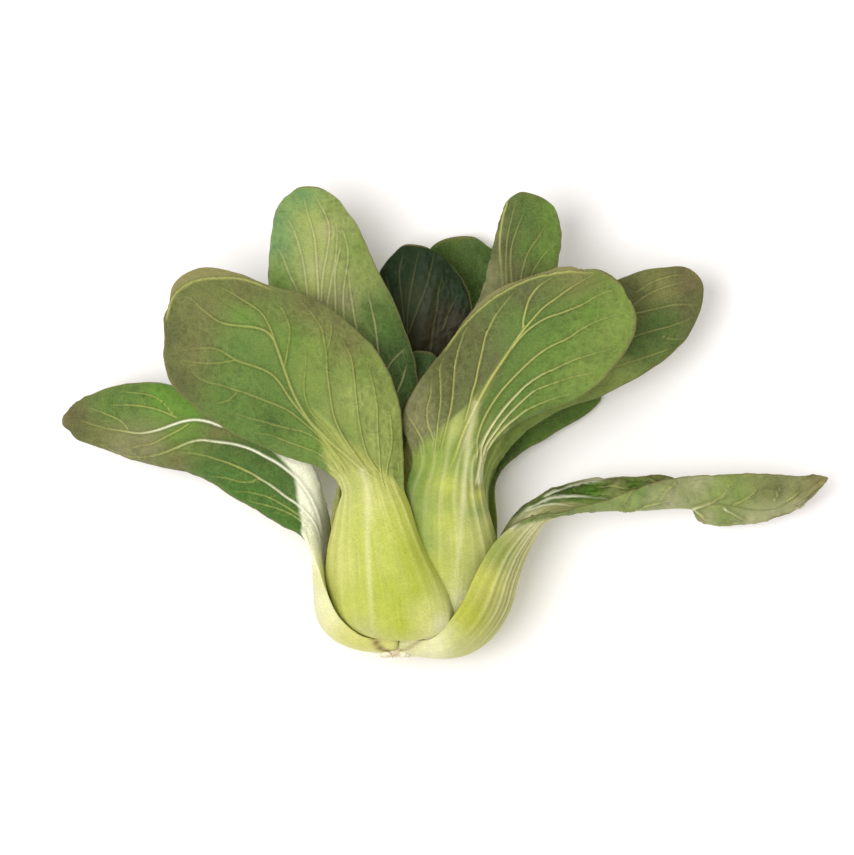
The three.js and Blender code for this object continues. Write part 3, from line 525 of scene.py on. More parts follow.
LEAVES = {
    "front_left": dict(
        shows_back=True, thick=6.0, neck=6.4, rib_end=11.6, waves=3, lines=(361, 229), other=DARK_OLIVE,
        vein=STRAW_LIME, thin_vein=VEIN_LIME, vein_strength=0.6, fine_strength=0.15,
        pale=[(5.4, -1.3, 1.3), (6.0, -1.2, 0.95), (6.5, -1.0, 0.45), (7, -0.75, 0.2), (7.5, -0.42, 0.1),
            (8, -0.2, 0.05), (8.5, -0.08, 0.02), (9.2, 0.04, -0.04), (10, 0.06, -0.06)],
        ribs=((-0.86, 0.9), (-0.66, 0.9), (-0.48, 0.5), (-0.02, 0.35), (0.24, 0.3), (0.46, 0.4),
            (0.7, 0.7)),
        stalk_spots={
            LIME: [(-20, -50), (-26, -52), (-17, -34), (-31, -62), (-20, -40)],
            BRIGHT_LIME: [(-11, -58), (-14, -45), (-15, -70), (-18, -64), (-20, -57), (-13, -51)],
            PALE_LIME: [(-33, -50), (-39, -50), (-24, -28), (-5, -64), (-40, -58), (-8, -68)],
            STRAW_LIME: [(-28, -71), (-34, -22)],
            CREAM: [(-3, -69)],
        },
        # The greyer and more bronze greens on the blade's right side are partly the leaf's own colour and
        # partly a painted sheen.
        blade_spots={
            PALE_SAGE: [(-20, -10), (-18, 3), (-30, 9)],
            OLIVE_GREEN: [(-45, 25), (-28, 18), (-48, 14)],
            OLIVE: [(-34, 27), (-40, 35)],
            FIELD_GREEN: [(-75, 8), (-67, -4), (-62, 18), (-57, 10), (-72, 25), (-50, 1)],
            DARK_OLIVE: [(-88, 25), (-85, 38), (-70, 45), (-48, 41)],
            DEEP_GREEN: [(-60, 0)],
            SHADE_OLIVE: [(-93, 14), (-96, 30)],
            LEAF_GREEN: [(-47, -9), (-54, 27), (-70, 36)],
            SAGE: [(-40, 3), (-24, 13)],
        },
        marks=[
            (CREAM, 0.45, 5.0, [(-30, -15), (-27.5, -20), (-26.5, -30), (-26.5, -40), (-26, -50),
                (-25.5, -60), (-24.7, -73)]),
        ],
        rim=[(-97.5, 35), (-96.5, 40), (-94.5, 44.5), (-91, 47.5), (-86, 49.5), (-80, 50.3), (-73, 50.2),
            (-66, 48.5), (-60, 46)],
    ),
    "outer_right": dict(
        thick=5.0, neck=6.0, rib_end=12.5, rib_thick=1.9, lines=(271, 130), coarse=1, rib_from=1.2,
        rib_wide=0.034, furrow_shade=(0.66, 0.3, 0.48), furrow_shade_colour=UMBER, other=SAGE, vein=IVORY,
        thin_vein=STRAW_LIME, vein_strength=0.8, fine_strength=0.4, pucker=2.4, shown_outside=0.88,
        ribs=((-0.78, 0.5), (-0.57, 0.9), (-0.36, 0.7), (-0.2, 1.4), (-0.07, 0.9), (0.04, 1.9),
            (0.14, 1.1), (0.26, 2.2), (0.37, 1.2), (0.47, 2.0), (0.56, 1.1), (0.67, 1.2), (0.82, 0.4)),
        stalk_spots={
            STRAW_LIME: [(5, -78)],
            VEIN_LIME: [(18, -65)],
            CREAM: [(-4, -77), (30, -34)],
            BRIGHT_LIME: [(8, -66)],
            LIME: [(14, -56)],
            VEIN_OLIVE: [(27, -45)],
            STRAW: [(35, -35), (24, -58)],
            PALE_GREEN: [(19, -46)],
        },
        # The pale grey at (88, -22) and (79, -28) is a painted sheen; the rest of it is the paler strip
        # below the fold.
        blade_spots={
            DEEP_GREEN: [(45, -25)],
            SAGE_LIGHT: [(60, -22)],
            RICH_GREEN: [(52, -23.5), (66, -22)],
            SAGE: [(50, -31), (62, -30), (95, -25)],
            GREY_SAGE: [(75, -27), (84, -25), (105, -34), (118, -31), (84, -20)],
            OLIVE_GREEN: [(98, -33), (100, -20), (104, -26), (89, -31.5)],
            OLIVE: [(111, -23), (75, -19.5), (124, -25)],
            SHADE_OLIVE: [(117, -24)],
            BRONZE: [(131, -21)],
            PALE_GREY: [(108, -35), (117, -32.5), (124, -29), (91, -34), (88, -22), (79, -28)],
        },
        marks=[
            # Painted shade: a brown line in the crevice where the foot meets the front leaves.
            (BROWN, 0.6, 0.5, [(-18, -77.3), (-14, -77.1), (-8, -76.2), (-4, -74.5)]),
            # Painted shade along the fold.
            (SHADE_OLIVE, 0.6, 0.7, [(91, -29), (98, -28.8), (106.6, -30.6), (114, -31), (118, -29.8),
                (122.5, -26.9), (128, -23), (133, -19.8)]),
        ],
    ),
    "outer_left": dict(
        thick=5.0, neck=5.2, rib_end=12.4, waves=3, lines=(319, 178), furrow_shade=(0.05, 0.0, 2.0), soften=0.03,
        pale_end=1.0, vein=IVORY, thin_vein=VEIN_LIME, vein_strength=0.95, fine_strength=0.22,
        pale=[(4.2, -1.3, 1.3), (5.0, -1.0, 1.3), (5.5, -0.66, 1.3), (6, -0.52, 1.3), (6.5, -0.38, 1.3),
            (7, -0.24, 1.1), (7.5, -0.16, 0.9), (8, -0.1, 0.3), (9, -0.05, 0.0), (10, 0.04, -0.04)],
        ribs=((-0.7, 0.8), (-0.4, 0.9), (-0.1, 0.7), (0.2, 0.8), (0.55, 0.7)),
        marks=[
            # Painted shade: a brown line in the crevice where the foot meets the front leaves.
            (BROWN, 0.9, 0.9, [(-29, -73.8), (-26, -75.4), (-22.5, -76.6), (-18.5, -77.3), (-15, -77.3)]),
        ],
        stalk_spots={
            PALE_LIME: [(-30, -76), (-38, -50)],
            CREAM: [(-42, -62)],
            IVORY: [(-44, -45), (-47, -30), (-55, -20)],
        },
        blade_spots={
            MOSS: [(-58, -31), (-70, -25), (-82, -18), (-64, -28), (-76, -20)],
            DEEP_GREEN: [(-66, -13), (-56, -24), (-78, -10)],
            RICH_GREEN: [(-100, 8), (-90, 3)],
            FIELD_GREEN: [(-110, 9), (-118, 5)],
            DARK_OLIVE: [(-94, -13), (-122, -6), (-80, -4)],
            GREY_OLIVE: [(-104, -8), (-113, -8)],
            LEAF_GREEN: [(-92, -5)],
            SHADE_OLIVE: [(-129, -1)],
            BRONZE_DARK: [(-132, 2)],
        },
    ),
    "front_right": dict(
        shows_back=True, thick=5.5, neck=6.6, rib_end=11.6, waves=3, lines=(361, 229), pale_end=0.38,
        other=OLIVE, vein=PALE_LIME, thin_vein=STRAW_LIME, vein_strength=0.8, fine_strength=0.13,
        pale=[(5.4, -1.3, 1.3), (6.0, -1.1, 1.3), (6.5, -0.72, 1.1), (7, -0.42, 0.4), (7.5, -0.3, 0.16),
            (8, -0.18, 0.06), (8.5, -0.11, 0.03), (9.2, -0.07, 0.01), (10, -0.03, 0.0), (11, 0.04, -0.04)],
        ribs=((-0.75, 0.6), (-0.48, 0.5), (-0.2, 0.6), (0.08, 0.8), (0.3, 0.6), (0.48, 1.4), (0.72, 1.0)),
        # The darker greens at the stalk's left edge, next to the front left leaf, are painted shade.
        stalk_spots={
            PALE_LIME: [(4, -40), (-4, -58)],
            PALE_SAGE: [(-8, -30)],
            PALE_GREEN: [(-6, -14), (-9, -40), (7, -14), (2, -10)],
            STRAW_LIME: [(12, -45), (13, -35), (10, -56), (5, -2), (12, 10)],
            CREAM: [(5, -62)],
            LIME: [(10, -25), (-3, -50), (1, -22), (0, -35)],
            FIELD_GREEN: [(-14, -33), (-13.5, -27)],
            MID_GREEN: [(-12, -42), (-11, -19)],
            OLIVE: [(9.5, -23)],
            SAGE: [(10, -31), (11, -6)],
            OLIVE_GREEN: [(9, -17)],
        },
        blade_spots={
            FIELD_GREEN: [(26, 12), (18, 8), (36, 34), (23, 20), (29, 33)],
            LEAF_GREEN: [(33, 20), (50, 38), (27, 4), (38, 26)],
            SHADE_OLIVE: [(0, 10), (10, 30), (28, 44), (17, 21), (12, 16), (3, 20)],
            GREY_OLIVE: [(-10, 0), (-12, 8)],
            MID_GREEN: [(40, 12)],
            OLIVE_GREEN: [(58, 30), (62, 38), (48, 18)],
            OLIVE: [(45, 50)],
            SAGE: [(20, -4)],
        },
        marks=[
            (CREAM, 0.5, 5.0, [(11, 8), (9.5, 2), (8.4, -4), (6.8, -12), (5.7, -21.5), (5.2, -32),
                (5, -39), (2.7, -55)]),
            (CREAM, 0.8, 0.8, [(9.3, -22), (10.2, -16), (11.3, -11), (12.5, -6.5), (16, -1), (20, 4.5),
                (24.5, 9.5), (28.5, 13.5), (34, 17)]),
            (CREAM, 0.75, 0.7, [(10, -22), (11, -16), (12, -11), (13.5, -7.5), (17.5, -2.5), (21.5, 2.5),
                (25.5, 6.5), (30.5, 11)]),
            (CREAM, 0.6, 0.6, [(10.8, -22), (11.6, -15.5), (13.6, -8.5), (18.5, -3.2), (23.5, 1),
                (28, 4.5)]),
        ],
        rim=[(-1, 24), (4, 31), (9, 37), (15, 42), (21.5, 46.2), (29, 49.6), (37, 51.8), (45, 52.6),
            (52, 51.8)],
    ),
    "back_middle": dict(
        thick=5.0, neck=4.5, rib_end=8.2, lines=(151, 88),
        stalk_spots={PALE_LIME: [(-15, -50)]},
        blade_spots={LEAF_DARK: [(8, 62), (12, 50)], BLACK_GREEN: [(-9, 20)], DEEP_GREEN: [(0, 40)]},
    ),
    "back_right": dict(
        thick=4.2, neck=4.3, rib_end=7.2, lines=(151, 88), vein_strength=0.3,
        stalk_spots={PALE_LIME: [(5, -50)], PALE_GREEN: [(17, -25)]},
        blade_spots={FIELD_GREEN: [(30, -3), (50, 8)], LEAF_DARK: [(22, -10)]},
    ),
    "back_left": dict(
        thick=4.2, neck=4.2, rib_end=7.6, lines=(121, 70),
        stalk_spots={PALE_LIME: [(-30, -50)]},
        blade_spots={LEAF_DARK: [(-60, 20)]},
    ),
    "tall_left": dict(
        thick=4.5, neck=4.6, rib_end=8.6, lines=(241, 139), vein=CREAM, thin_vein=VEIN_BROWN,
        vein_strength=0.7, fine_strength=0.15,
        stalk_spots={PALE_LIME: [(-30, -40)]},
        # Dark greens towards the foot of the blade are painted shadow, cast there by the front left leaf;
        # the pale middle is partly the leaf's own colour and partly a painted sheen.
        blade_spots={
            PALE_SAGE: [(-45, 62), (-45, 47), (-48, 70)],
            SAGE_LIGHT: [(-45, 54), (-42, 66)],
            SEA_GREEN: [(-50, 79), (-58, 62), (-58.5, 70)],
            SAGE: [(-36, 62), (-30, 50), (-40, 75)],
            DEEP_GREEN: [(-26, 39), (-21, 32)],
            PAINTED_SHADE_GREEN: [(-18, 25), (-14, 18)],
            MID_GREEN: [(-57, 50)],
            OLIVE_GREEN: [(-40, 38), (-32, 60)],
            GREY_OLIVE: [(-36, 43), (-43, 42)],
        },
    ),
    "mid_right": dict(
        thick=4.5, neck=4.3, rib_end=8.6, lines=(181, 106), vein=VEIN_OLIVE, thin_vein=VEIN_OLIVE,
        vein_strength=0.6, fine_strength=0.12,
        stalk_spots={PALE_LIME: [(10, -40)], PALE_GREEN: [(16, -20)]},
        blade_spots={
            OLIVE: [(75, 48)],
            BRONZE_DARK: [(85, 50)],
            LEAF_DARK: [(75, 35), (66, 28)],
            SAGE: [(60, 18)],
            OLIVE_GREEN: [(35, 4)],
            SHADE_OLIVE: [(88, 40), (64, 42)],
        },
    ),
    "upper_right": dict(
        thick=4.0, neck=4.4, rib_end=8.4, lines=(181, 106), vein=VEIN_OLIVE, thin_vein=VEIN_OLIVE,
        vein_strength=0.7, fine_strength=0.12,
        stalk_spots={PALE_LIME: [(-5, -40)]},
        blade_spots={
            LEAF_DARK: [(28, 72), (23, 68)],
            LEAF_GREEN: [(36, 72), (35, 60)],
            SHADE_OLIVE: [(20, 58), (20, 70), (26, 50), (22, 54)],
            FIELD_GREEN: [(28, 62)],
            GREY_OLIVE: [(16, 52)],
            BRONZE: [(18, 66)],
            DARK_GREEN: [(21, 62)],
        },
        marks=[
            (STRAW_LIME, 0.8, 0.6, [(22.5, 79), (22, 76), (20.5, 72), (19.4, 66), (19, 60), (20, 48)]),
        ],
    ),
    "back_inner": dict(
        thick=4.0, neck=4.5, rib_end=7.6, lines=(181, 106), net=0.0, vein=VEIN_DARK, thin_vein=VEIN_DARK,
        vein_strength=0.8, fine_strength=0.15,
        stalk_spots={PALE_LIME: [(-20, -40)]},
        # The near-black greens are the leaf's own dark green, darkened further by painted shade where it
        # lies deep among the other leaves.
        blade_spots={
            DARK_GREEN: [(-12, 42)],
            BLACK_GREEN: [(-8, 57), (5, 45), (-20, 50)],
            BLACK_BROWN: [(-4, 30), (2, 36)],
        },
        pale=[(3.5, -1.3, 1.3), (4.5, -0.5, 0.5), (5.2, -0.06, 0.06), (5.8, 0.06, -0.06)],
    ),
    "heart": dict(
        thick=3.4, neck=3.0, rib_end=5.6, lines=(76, 46), vein_strength=0.5,
        ribs=((-0.5, 0.6), (0.0, 0.8), (0.5, 0.6)),
        stalk_spots={PALE_LIME: [(-13, -40)]},
        # Painted shade: the heart's blade shows only in the shaded gap between the front leaves.
        blade_spots={PAINTED_SHADE_GREEN: [(-10, 10)]},
    ),
}


# Number helpers

def smooth(a, b, x):
    t = np.clip((x - a) / (b - a), 0.0, 1.0)
    return t * t * (3 - 2 * t)


def mix(a, b, t):
    return a + (b - a) * t


def bell(d, width):
    return np.exp(-(d / width) ** 2)


# Smooth noise from -1 to 1 over a plane, from a seeded lattice of random values.
def ripple(x, y, seed):
    lattice = np.random.default_rng(seed).uniform(-1, 1, (LATTICE, LATTICE))
    i = np.floor(x).astype(int)
    j = np.floor(y).astype(int)
    fx = x - i
    fy = y - j
    fx = fx * fx * (3 - 2 * fx)
    fy = fy * fy * (3 - 2 * fy)
    i0, i1 = i % LATTICE, (i + 1) % LATTICE
    j0, j1 = j % LATTICE, (j + 1) % LATTICE
    low = mix(lattice[i0, j0], lattice[i1, j0], fx)
    high = mix(lattice[i0, j1], lattice[i1, j1], fx)
    return mix(low, high, fy)


def unit(vectors):
    return vectors / np.maximum(np.linalg.norm(vectors, axis=-1, keepdims=True), TINY)


# The lofted sheet of a leaf, as in the part's source

def curve_through(points, knots):
    last = len(points) - 1
    tangents = np.zeros_like(points)
    for i in range(last + 1):
        a = max(0, i - 1)
        b = min(last, i + 1)
        before = (points[i] - points[a]) / ((knots[i] - knots[a]) or 1)
        after = (points[b] - points[i]) / ((knots[b] - knots[i]) or 1)
        if a == i:
            tangents[i] = after
        elif b == i:
            tangents[i] = before
        else:
            tangents[i] = mix(before, after, (knots[i] - knots[a]) / (knots[b] - knots[a]))

    def at(s):
        i = np.clip(np.floor(s).astype(int), 0, last - 1)
        span = (knots[i + 1] - knots[i])[..., None]
        t = (s - i)[..., None]
        u = 1 - t
        return (points[i] * u * u * (1 + 2 * t) + tangents[i] * u * u * t * span
                + points[i + 1] * t * t * (3 - 2 * t) - tangents[i + 1] * t * t * u * span)

    return at


def sheet(rows):
    lines = [np.array([row[k] for row in rows], float) for k in range(3)]
    wraps = np.radians([row[3] for row in rows])
    steps = sum(np.linalg.norm(line[1:] - line[:-1], axis=1) for line in lines) / 3
    knots = np.concatenate([[0.0], np.cumsum(steps)])
    left, middle, right = (curve_through(line, knots) for line in lines)

    def at(s, v):
        i = np.clip(np.floor(s).astype(int), 0, len(rows) - 2)
        wrap = mix(wraps[i], wraps[i + 1], s - i)
        across = (np.sin(wrap * v) / np.sin(wrap))[..., None]
        down = ((1 - np.cos(wrap * v)) / (1 - np.cos(wrap)))[..., None]
        a, m, b = left(s), middle(s), right(s)
        return m + (b - a) * 0.5 * across + ((a + b) * 0.5 - m) * down

    return at


# The step from each point to its right along a row, and along the leaf, for the directions there.
def step_across(surface, s, v):
    return surface(s, np.minimum(1, v + STEP)) - surface(s, np.maximum(-1, v - STEP))


def step_along(surface, s, v, last):
    return surface(np.minimum(last, s + STEP), v) - surface(np.maximum(0, s - STEP), v)


# Veins

# Points along a drawn route, made smooth and evenly close.
def smooth_route(points):
    points = np.array(points, float)
    for _ in range(2):
        cut = np.empty((2 * len(points) - 2, points.shape[1]))
        cut[0::2] = 0.75 * points[:-1] + 0.25 * points[1:]
        cut[1::2] = 0.25 * points[:-1] + 0.75 * points[1:]
        points = np.vstack([points[:1], cut, points[-1:]])
    return points


# Small side veins that leave a vein by turns to its left and right.
def side_veins(route, width, rng):
    steps = np.linalg.norm(route[1:] - route[:-1], axis=1)
    length = np.concatenate([[0.0], np.cumsum(steps)])
    found = []
    place = rng.uniform(*SIDE_FIRST)
    side = rng.choice([-1, 1])
    while place < length[-1] - 2:
        i = min(len(route) - 2, int(np.searchsorted(length, place)))
        ahead = unit(route[i + 1] - route[i])
        turn = math.radians(rng.uniform(*SIDE_TURN)) * side
        reach = rng.uniform(*SIDE_REACH)
        points = [route[i]]
        for _ in range(SIDE_STEPS):
            c, n = math.cos(turn), math.sin(turn)
            step = np.array([ahead[0] * c - ahead[1] * n, ahead[0] * n + ahead[1] * c])
            points.append(points[-1] + step * reach / SIDE_STEPS)
            turn += math.radians(rng.uniform(*SIDE_BEND)) * side
        found.append((SIDE_WIDTH * min(1.0, width + 0.4), SIDE_TIP, points))
        place += rng.uniform(*SIDE_APART)
        side = -side
    return found


# How far each point is from a route, how far along the route its nearest place is, from 0 to 1, and
# how far it lies to the left of the route there.
def beside_route(points, route):
    best = np.full(len(points), FAR)
    along = np.zeros(len(points))
    left_of = np.zeros(len(points))
    count = len(route) - 1
    for k in range(count):
        a = route[k]
        ab = route[k + 1] - a
        to = points - a
        t = np.clip((to @ ab) / max(ab @ ab, TINY), 0, 1)
        d = np.linalg.norm(to - t[:, None] * ab, axis=1)
        closer = d < best
        best[closer] = d[closer]
        along[closer] = (k + t[closer]) / count
        left_of[closer] = (ab[0] * to[:, 1] - ab[1] * to[:, 0])[closer]
    return best, along, left_of


# The points in the box round a route, widened by a margin.
def points_near(points, route, margin):
    low = route.min(axis=0) - margin
    high = route.max(axis=0) + margin
    return np.where(np.all((points > low) & (points < high), axis=1))[0]


# How much of a vein lies at each point, from 0 to 1, for veins drawn in a plane, how close the broad
# swelling round it is, how wide the vein is there, and how close its shaded sides are.
def vein_cover(points, veins):
    cover, swell, size, halo = np.zeros((4, len(points)))
    for start, end, route in veins:
        route = np.asarray(route)
        near = points_near(points, route, SWELL_REACH)
        if not len(near):
            continue
        best, run, _ = beside_route(points[near], route)
        width = mix(start, end, run)
        fade = smooth(-0.03, 0.08, run) * (1 - smooth(0.6, 1.0, run) * 0.7)
        strength = np.minimum(1.0, 0.5 + 0.7 * width) * fade
        spread = VEIN_SOFT + VEIN_SPREAD * width
        here = strength * bell(best, spread)
        size[near] = np.where(here > cover[near], width, size[near])
        cover[near] = np.maximum(cover[near], here)
        swell[near] = np.maximum(swell[near], strength * bell(best, SWELL_REACH / 2.2))
        halo[near] = np.maximum(halo[near], strength * bell(best, SHADE_SPREAD * spread))
    return cover, swell, size, halo


# Veins that no one has drawn, in rows along the leaf and shares across it.
def plain_veins(leaf, last, rng):
    found = []
    start = leaf["neck"] - 0.4
    for side in (-1, 1):
        for k in range(6):
            s = start + (last - start) * (0.05 + 0.13 * k) + rng.uniform(-0.1, 0.1)
            run = rng.uniform(1.5, 2.1) * (1 - 0.06 * k)
            points = [(min(last, s + run * t ** 1.3), side * (0.03 + 0.89 * t))
                      for t in np.linspace(0, 1, 9)]
            found.append((0.6, 0.2, points))
    found.append((1.1, 0.2, [(s, 0.0) for s in np.linspace(start, last - 0.3, 9)]))
    return found


# The veins of a leaf at each point of its mesh: how much of a main and of a fine vein lies there, how
# close the swelling round a main vein is, how wide that vein is, and the shade along its sides.
def veins_of(name, leaf, g, rng):
    if name in VEINS:
        place = g["flat"]
        mains = [(a, b, smooth_route(route)) for a, b, route in VEINS[name]]
    else:
        scale = (ROW_LENGTH, HALF_WIDTH)
        place = np.stack([g["s"], g["v"]], axis=1) * scale
        mains = [(a, b, smooth_route(np.array(route) * scale))
                 for a, b, route in plain_veins(leaf, g["last"], rng)]
    small = []
    for a, _, route in mains:
        small += side_veins(route, a, rng)
    main, swell, size, halo = vein_cover(place, mains)
    fine = vein_cover(place, small)[0]
    covered = smooth(g["start"] - 0.8, g["start"] + 0.8, g["s"])
    shade = np.clip(halo - main, 0, 1)
    return dict(main=main * covered, fine=fine * covered * (1 - halo), swell=swell * covered, size=size,
                shade=shade * covered)


# The shape of a leaf

# Rows and columns of the mesh, closer together up the blade and towards both margins.
def leaf_lines(leaf, last, start):
    rows, columns = leaf["lines"]
    early = int(rows * STALK_LINES)
    s_line = np.concatenate([np.linspace(0, start, early, endpoint=False),
                             np.linspace(start, last, rows - early)])
    x_line = np.linspace(-1, 1, columns)
    v_line = 0.75 * x_line + 0.25 * np.sin(x_line * math.pi / 2)
    s, v = (a.ravel() for a in np.meshgrid(s_line, v_line, indexing="ij"))
    return s - TIP_ROUND * np.abs(v) ** 5 * smooth(last - 1.6, last, s), v


# The sheet of a leaf at each point of its mesh, with how thick the leaf is on both sides of it.
def leaf_surface(name, leaf, seed):
    rows = ROWS[name]
    last = len(rows) - 1
    neck = leaf["neck"]
    start = neck - 0.6
    surface = sheet(rows)
    s, v = leaf_lines(leaf, last, start)
    p = surface(s, v)
    across = step_across(surface, s, v)
    n = unit(np.cross(across, step_along(surface, s, v, last)))

    # How far each point lies across the stalk or midrib, and out on the wing beside it
    rib = RIB_START + (RIB_END - RIB_START) * (s - neck) / (leaf["rib_end"] - neck)
    share = mix(1.0, np.clip(rib, 0.03, RIB_START), smooth(neck - 1, neck + 1.1, s))
    w = np.abs(v) / share
    t = np.clip((np.abs(v) - share) / np.maximum(1 - share, 1e-6), 0, 1)

    # Thickness of the stalk and of the midrib
    rib_thick = leaf.get("rib_thick", 0.5 * leaf["thick"])
    full = mix(0.7 * leaf["thick"], leaf["thick"], smooth(0, 1.5, s))
    lean = mix(full, rib_thick, smooth(2.5, neck + 0.5, s))
    middle = mix(lean, RIB_TIP, smooth(neck, leaf["rib_end"], s))
    crescent = STALK_EDGE + np.maximum(0, middle - STALK_EDGE) * (1 - v ** 2)
    in_blade = smooth(neck - 1.3, neck + 1.3, s)

    # Waves along the margin, large ones as in the solid, small ones and notches of its own
    x = np.clip((s - start) / (last - start), 0, 1)
    for _ in range(4):
        x = np.clip((s - start - VEIN_SWEEP * t ** 1.5 * 4 * x * (1 - x)) / (last - start), 0, 1)
    wave = (WAVE_RISE * t ** 2 * np.sin(2 * math.pi * leaf["waves"] * x + 2 * np.sign(v))
            * smooth(0, 0.3, x))
    own_row = np.sign(v) * 3 + 20
    small = ripple(s * 2.4 + 9, own_row, seed + 7) * smooth(0.7, 1, np.abs(v)) * in_blade
    notch = ripple(s * 4.6 + 3, own_row, seed + 8) * smooth(0.9, 1, np.abs(v)) * in_blade
    p = p + n * (wave + SMALL_WAVE * small)[:, None] + unit(across) * (NOTCH * notch)[:, None]

    # The faces away from the sheet: the outer one, and the inner one below it
    lower = mix(1.0, 0.3, smooth(neck + 0.5, neck + 3, s))
    ridge = 0.75 * middle * bell(w, 0.62) * in_blade * lower
    margin = np.minimum(1, 3 * (1.02 - np.abs(v)))
    if leaf["shows_back"]:
        side = 1
        outer = (GAP + STALK_EDGE) * (1 - in_blade) + ridge
        inner = np.maximum(crescent * margin - GAP - STALK_EDGE, 0) * (1 - in_blade)
    else:
        side = -1
        outer = GAP * (1 - in_blade) + crescent * (1 - in_blade) * margin + ridge
        inner = 0 * s
    wing = smooth(0.02, 0.35, t) * smooth(start - 0.4, start + 0.6, s)
    return dict(s=s, v=v, p=p, n=n, flat=p[:, :2], outward=n * side, side=side, wing=wing, outer=outer,
                inner=inner, last=last, start=start)


# Ridges that run up the stalk and fan out below the blade, and fine streaks between them.
def stalk_ridges(leaf, g, seed):
    s, v, start = g["s"], g["v"], g["start"]
    stalk = 1 - smooth(start + 0.6, start + 2.4, s)
    wander = 0.02 * ripple(s * 0.9, v * 2 + 7, seed)
    ridges = np.zeros(len(s))
    for place, strength in leaf["ribs"]:
        ridges += strength * bell(v + wander - place, leaf["rib_wide"])
    ridges *= stalk * mix(0.25, 1.0, smooth(leaf["rib_from"], start, s)) * smooth(0.5, 2.0, s)
    streak = ripple(v * 26, s * 0.8, seed + 1) + 0.6 * ripple(v * 60, s * 1.6, seed + 2)
    return dict(stalk=stalk, ridges=ridges, streak=streak)


# Broad waves of the blade, blisters on it, and crisp creases that bend round the blisters.
def crinkles(g, seed):
    x, y = g["flat"].T
    broad = ripple(x / BROAD_SIZE, y / BROAD_SIZE, seed + 3)
    blister = ripple(x / BLISTER_SIZE, y / BLISTER_SIZE, seed + 4)
    fold = ripple(x / CREASE_SIZE + 0.5 * blister, y / CREASE_SIZE - 0.5 * blister, seed + 11)
    return dict(broad=broad, blister=blister, crease=0.45 - 1.5 * np.abs(fold))


# How far beyond the inner edge of a turned rim each point lies, from 0 to 1 and to the left of the
# drawn edge, and how close it is to that edge.
def rim_of(points, route):
    inside, edge = np.zeros((2, len(points)))
    if not route:
        return inside, edge
    route = smooth_route(route)
    near = points_near(points, route, 2 * RIM_DEPTH)
    best, along, left_of = beside_route(points[near], route)
    fade = smooth(0, 0.12, along) * smooth(1, 0.85, along)
    inside[near] = np.where(left_of > 0, np.clip(best / RIM_DEPTH, 0, 1), 0) * fade
    edge[near] = bell(best, RIM_LINE) * fade
    return inside, edge


# The outer and the inner face of a leaf, with ridges, veins, crinkles and a turned rim.
def leaf_faces(leaf, g):
    main, fine, thinner = g["main"], g["fine"], EDGE_THICK / BLADE_THICK
    crinkle = BROAD_RELIEF * g["broad"] + BLISTER_RELIEF * g["blister"] + CREASE_RELIEF * g["crease"]
    swelling = SWELL_RELIEF * g["side"] * (g["swell"] - 0.5)
    pucker = (crinkle * (1 - main) * leaf["pucker"] + swelling) * g["wing"]
    thin = mix(1.0, thinner, smooth(0.9, 1.0, np.abs(g["v"])))
    thin = thin * mix(1.0, thinner, smooth(g["last"] - 0.25, g["last"], g["s"]))
    outer = (g["outer"] + RIDGE_RELIEF * g["ridges"] + STREAK_RELIEF * g["streak"] * g["stalk"]
             + VEIN_RELIEF * main + FINE_RELIEF * fine + SKIN)
    inner = g["inner"] + mix(STALK_SKIN, BLADE_THICK, g["wing"]) * thin
    if not leaf["shows_back"]:
        inner = inner + INNER_VEIN * main + INNER_FINE * fine
    base = g["p"] + g["n"] * (pucker * thin)[:, None] - g["outward"] * (RIM_TURN * g["rim"] ** 1.5)[:, None]
    outer = outer * (1 - 0.5 * smooth(0, 0.3, g["rim"])) + RIM_RELIEF * g["rim_edge"]
    outside = base + g["outward"] * outer[:, None]
    inside = base - g["outward"] * inner[:, None]
    for face in (outside, inside):
        face[:, 2] = np.maximum(face[:, 2], FLOOR_CLEAR)
    return outside, inside


# The colour of a leaf

# A colour at each point, blended from the spots of colour round it.
def blend_spots(points, spots):
    total = np.zeros((len(points), 3))
    weights = np.zeros(len(points))
    for colour, places in spots.items():
        for place in places:
            w = 1 / (np.linalg.norm(points - place, axis=1) + SPOT_CORE) ** 3
            total += w[:, None] * np.array(colour)
            weights += w
    return total / weights[:, None]


# Moves the colours of a face towards another colour by a share at each point.
def paint(face, colour, share):
    face += (np.array(colour) - face) * share[:, None]


# Where the blade's green covers, apart from the narrow midrib and the ribs that fan out to it.
def green_share(leaf, g, seed):
    s, v, neck = g["s"], g["v"], leaf["neck"]
    plain = [(neck - 1, -1.3, 1.3), (neck, -0.7, 0.7), (neck + 1, -0.2, 0.2), (neck + 3, 0.04, -0.04)]
    table = smooth_route(leaf.get("pale", plain))
    left = np.interp(s, table[:, 0], table[:, 1])
    right = np.interp(s, table[:, 0], table[:, 2])
    soft = 0.03 + leaf["soften"] * smooth(0.2, 1.2, right - left)
    fan = v + 0.03 * ripple(v * 14, s * 0.4, seed + 9) * bell(s - neck - 0.4, 1.3)
    pale = smooth(left - soft, left + soft, fan) * (1 - smooth(right - soft, right + soft, fan))
    return 1 - pale * mix(1.0, leaf["pale_end"], smooth(neck + 0.2, neck + 2.4, s))


